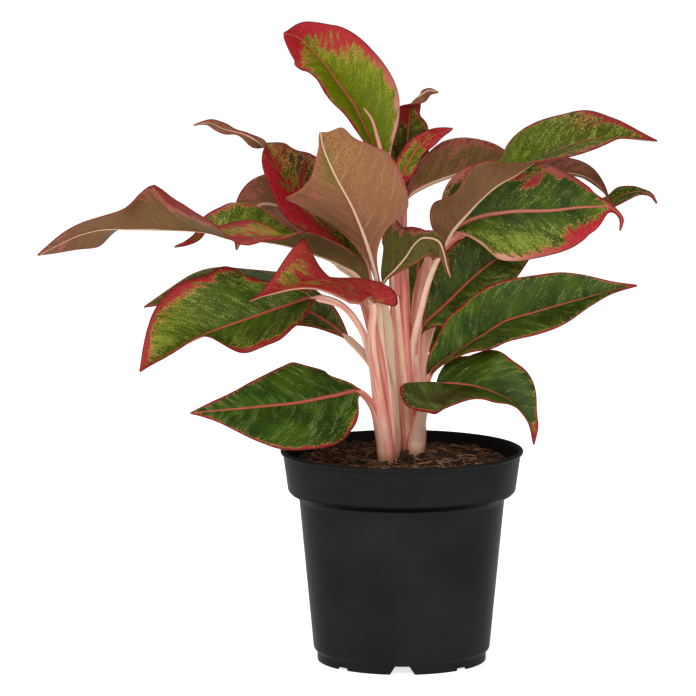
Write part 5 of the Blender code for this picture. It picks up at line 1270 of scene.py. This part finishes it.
class EVERGREEN_OT_soil(bpy.types.Operator):
    """Build the coco peat: a lumpy bed that fills the pot, loose crumbs and coir fibres"""
    bl_idname = "evergreen.soil"
    bl_label = "Coco peat"
    bl_options = {"REGISTER", "UNDO"}

    def execute(self, context):
        look = context.scene.evergreen_soil
        rng = random.Random(SOIL_SEED)
        material = soil_material(look)
        edge = BAND_LOW_R - WALL - GAP + 0.6
        top = [(edge * k / SOIL_RINGS, SOIL_TOP_Z) for k in range(SOIL_RINGS + 1)]
        lump = top + [
            (edge - 0.8, 88.2), (BAND_LOW_R - WALL - 2.3, 86.4), (BODY_TOP_R - WALL + 0.3, 84.4),
            (BODY_TOP_R - WALL - GAP - 0.15, BODY_TOP_Z + 0.9), (BODY_LOW_R - WALL - GAP - 0.15, 9.0),
            (BODY_LOW_R - WALL - 2.2, SOIL_LOW_Z), (0, SOIL_LOW_Z),
        ]
        mesh = turned_mesh("coco_peat_bed", lump, SOIL_SIDES)
        for corner in mesh.vertices:
            x, y, z = (v / MM for v in corner.co)
            if z > SOIL_TOP_Z - 0.01:
                fine = noise.fractal(Vector((x, y, 3.0)) * 0.42, 0.9, 2.1, 4)
                corner.co.z = (soil_height(x, y) - 0.3 + 1.15 * fine * (1 if x * x + y * y < 2900 else 0.3)) * MM
        keep(mesh, "pale", np.zeros(len(mesh.vertices)))
        mesh.shade_smooth()
        add_piece("coco_peat_bed", mesh, material, "soil", "soil")

        shapes = crumb_shapes(rng)
        points, faces, pale = [], [], []
        for k in range(look.crumbs):
            r, a = SOIL_R * math.sqrt(rng.random()), rng.uniform(0, 2 * math.pi)
            x, y = r * math.cos(a), r * math.sin(a)
            size = min(0.45 + rng.expovariate(1.6), 2.3)
            turn = Matrix.Rotation(rng.uniform(0, 6.3), 3, "X") @ Matrix.Rotation(rng.uniform(0, 6.3), 3, "Z")
            flat = (rng.uniform(0.7, 1.4), rng.uniform(0.6, 1.1), rng.uniform(0.5, 0.9))
            x, y = (v * min(1.0, (SOIL_R + 0.6 - 1.3 * size) / max(r, 1e-6)) for v in (x, y))
            verts, polys = shapes[k % len(shapes)]
            first = len(points)
            for v in verts:
                p = turn @ Vector((v[0] * flat[0], v[1] * flat[1], v[2] * flat[2])) * size
                points.append(((x + p.x) * MM, (y + p.y) * MM, (soil_height(x, y) + 0.25 * size + p.z) * MM))
            faces += [[first + i for i in poly] for poly in polys]
            pale += [max(0.0, rng.gauss(0.05, 0.16))] * len(verts)
        crumbs = bpy.data.meshes.new("coco_peat_crumbs")
        crumbs.from_pydata(points, [], faces)
        keep(crumbs, "pale", pale)
        add_piece("coco_peat_crumbs", crumbs, material, "soil")

        tubes = []
        for k in range(look.fibres):
            r, a = (SOIL_R - 4) * math.sqrt(rng.random()), rng.uniform(0, 2 * math.pi)
            line = fibre_line(rng, r * math.cos(a), r * math.sin(a), k % STRAW_EVERY == 0)
            far = np.hypot(line[:, 0], line[:, 1])
            line[:, :2] *= np.minimum(1.0, (SOIL_R - 0.2) / np.maximum(far, 1e-6))[:, None]
            thick = rng.uniform(0.09, 0.19) * np.array([1.0] * (FIBRE_POINTS - 1) + [0.6])
            rings, _ = tube_grid(line, np.array([0.02, 0.03, 1.0]), thick, thick, 4, np.zeros(len(line)))
            tubes.append((rings, {"pale": min(1.0, abs(rng.gauss(0.5, 0.35)))}))
        add_piece("coir_fibres", tubes_mesh("coir_fibres", tubes), material, "soil")
        return {"FINISHED"}


def floor_material(look):
    """Opal acrylic table top, matt, lit softly from below as product tables are."""
    # Opal acrylic: milky all through, so it glows evenly and only a faint soft shadow shows on it.
    made, t = fresh_material("opal acrylic table top")
    place = put(t, "TexCoord").outputs["Object"]
    milk = put(t, "TexNoise", {"Vector": place, "Scale": 60.0, "Detail": 2.0}).outputs[0]
    milk = put(t, "Math", {0: milk, 1: 0.05}, operation="MULTIPLY")
    base = put(t, "Mix", {0: milk, 6: look.floor, 7: linear("#eeeeee")}, **TINT)
    skin = put(t, "BsdfPrincipled", {"Base Color": base, "Roughness": 0.9, "Specular IOR Level": 0.1,
                                     "Emission Color": (1, 1, 1), "Emission Strength": look.table})
    put(t, "OutputMaterial", {"Surface": skin})
    return made


def aim(item, place, at):
    """Put a light or camera at a place, looking at a point, both in millimetres."""
    place, at = Vector(place) * MM, Vector(at) * MM
    item.location = place
    item.rotation_euler = (at - place).to_track_quat("-Z", "Y").to_euler()


class EVERGREEN_OT_stage(bpy.types.Operator):
    """Lay the pale floor, set the soft studio lights and place the camera"""
    bl_idname = "evergreen.stage"
    bl_label = "Floor, lights and camera"
    bl_options = {"REGISTER", "UNDO"}

    def execute(self, context):
        look = context.scene.evergreen_stage
        scene = context.scene
        mesh = bpy.data.meshes.new("studio_floor")
        shape = bmesh.new()
        bmesh.ops.create_grid(shape, x_segments=8, y_segments=8, size=FLOOR_HALF)
        shape.to_mesh(mesh)
        shape.free()
        floor = bpy.data.objects.new("studio_floor", mesh)
        scene.collection.objects.link(floor)
        mesh.materials.append(floor_material(look))

        world = bpy.data.worlds.new("even room light")
        scene.world = world
        world.use_nodes = True
        world.node_tree.nodes["Background"].inputs["Color"].default_value = (1, 1, 1, 1)
        world.node_tree.nodes["Background"].inputs["Strength"].default_value = look.sky
        for name, power, size, place in (
                ("key_softbox", look.key, 1.4, (-520, -1800, 1600)),
                ("fill_softbox", look.fill, 1.2, (520, -2100, 700)),
                ("top_softbox", look.fill, 1.6, (100, 500, 1900))):
            light = bpy.data.lights.new(name, "AREA")
            light.energy = power
            light.size = size
            item = bpy.data.objects.new(name, light)
            scene.collection.objects.link(item)
            aim(item, place, LIGHTS_AT)

        lens = bpy.data.cameras.new("studio_camera")
        lens.lens = CAMERA_LENS
        lens.sensor_width = CAMERA_SENSOR
        lens.clip_start = 0.1
        lens.clip_end = 60.0
        camera = bpy.data.objects.new("studio_camera", lens)
        scene.collection.objects.link(camera)
        rise = math.radians(CAMERA_RISE)
        aim(camera, (CAMERA_AIM[0], CAMERA_AIM[1] - CAMERA_AWAY * math.cos(rise),
                     CAMERA_AIM[2] + CAMERA_AWAY * math.sin(rise)), CAMERA_AIM)
        scene.camera = camera
        scene.view_settings.view_transform = "Standard"
        return {"FINISHED"}


class EVERGREEN_PT_panel(bpy.types.Panel):
    """Steps that build the plant, with their settings"""
    bl_idname = "EVERGREEN_PT_panel"
    bl_label = "Potted philippine evergreen"
    bl_space_type = "VIEW_3D"
    bl_region_type = "UI"
    bl_category = "Evergreen"

    def draw(self, context):
        for step, group in STEPS:
            box = self.layout.box()
            box.operator(step)
            for word in getattr(context.scene, group).__annotations__:
                box.prop(getattr(context.scene, group), word)


STEPS = (("evergreen.pot", "evergreen_pot"), ("evergreen.soil", "evergreen_soil"),
         ("evergreen.shoots", "evergreen_shoot"), ("evergreen.leaves", "evergreen_leaf"),
         ("evergreen.stage", "evergreen_stage"))
GROUPS = (("evergreen_leaf", EvergreenLeafSettings), ("evergreen_shoot", EvergreenShootSettings),
          ("evergreen_pot", EvergreenPotSettings), ("evergreen_soil", EvergreenSoilSettings),
          ("evergreen_stage", EvergreenStageSettings))
CLASSES = (*[group for _, group in GROUPS], EVERGREEN_OT_pot, EVERGREEN_OT_soil, EVERGREEN_OT_shoots,
           EVERGREEN_OT_leaves, EVERGREEN_OT_stage, EVERGREEN_PT_panel)


def register():
    for kind in CLASSES:
        bpy.utils.register_class(kind)
    for name, group in GROUPS:
        setattr(bpy.types.Scene, name, PointerProperty(type=group))


def unregister():
    for name, _ in GROUPS:
        delattr(bpy.types.Scene, name)
    for kind in reversed(CLASSES):
        bpy.utils.unregister_class(kind)


def main():
    register()
    for item in [o for o in bpy.data.objects if o.name in ("Cube", "Light", "Camera")]:
        bpy.data.objects.remove(item)
    bpy.ops.evergreen.pot()
    bpy.ops.evergreen.soil()
    bpy.ops.evergreen.shoots()
    bpy.ops.evergreen.leaves()
    bpy.ops.evergreen.stage()


if __name__ == "__main__":
    main()
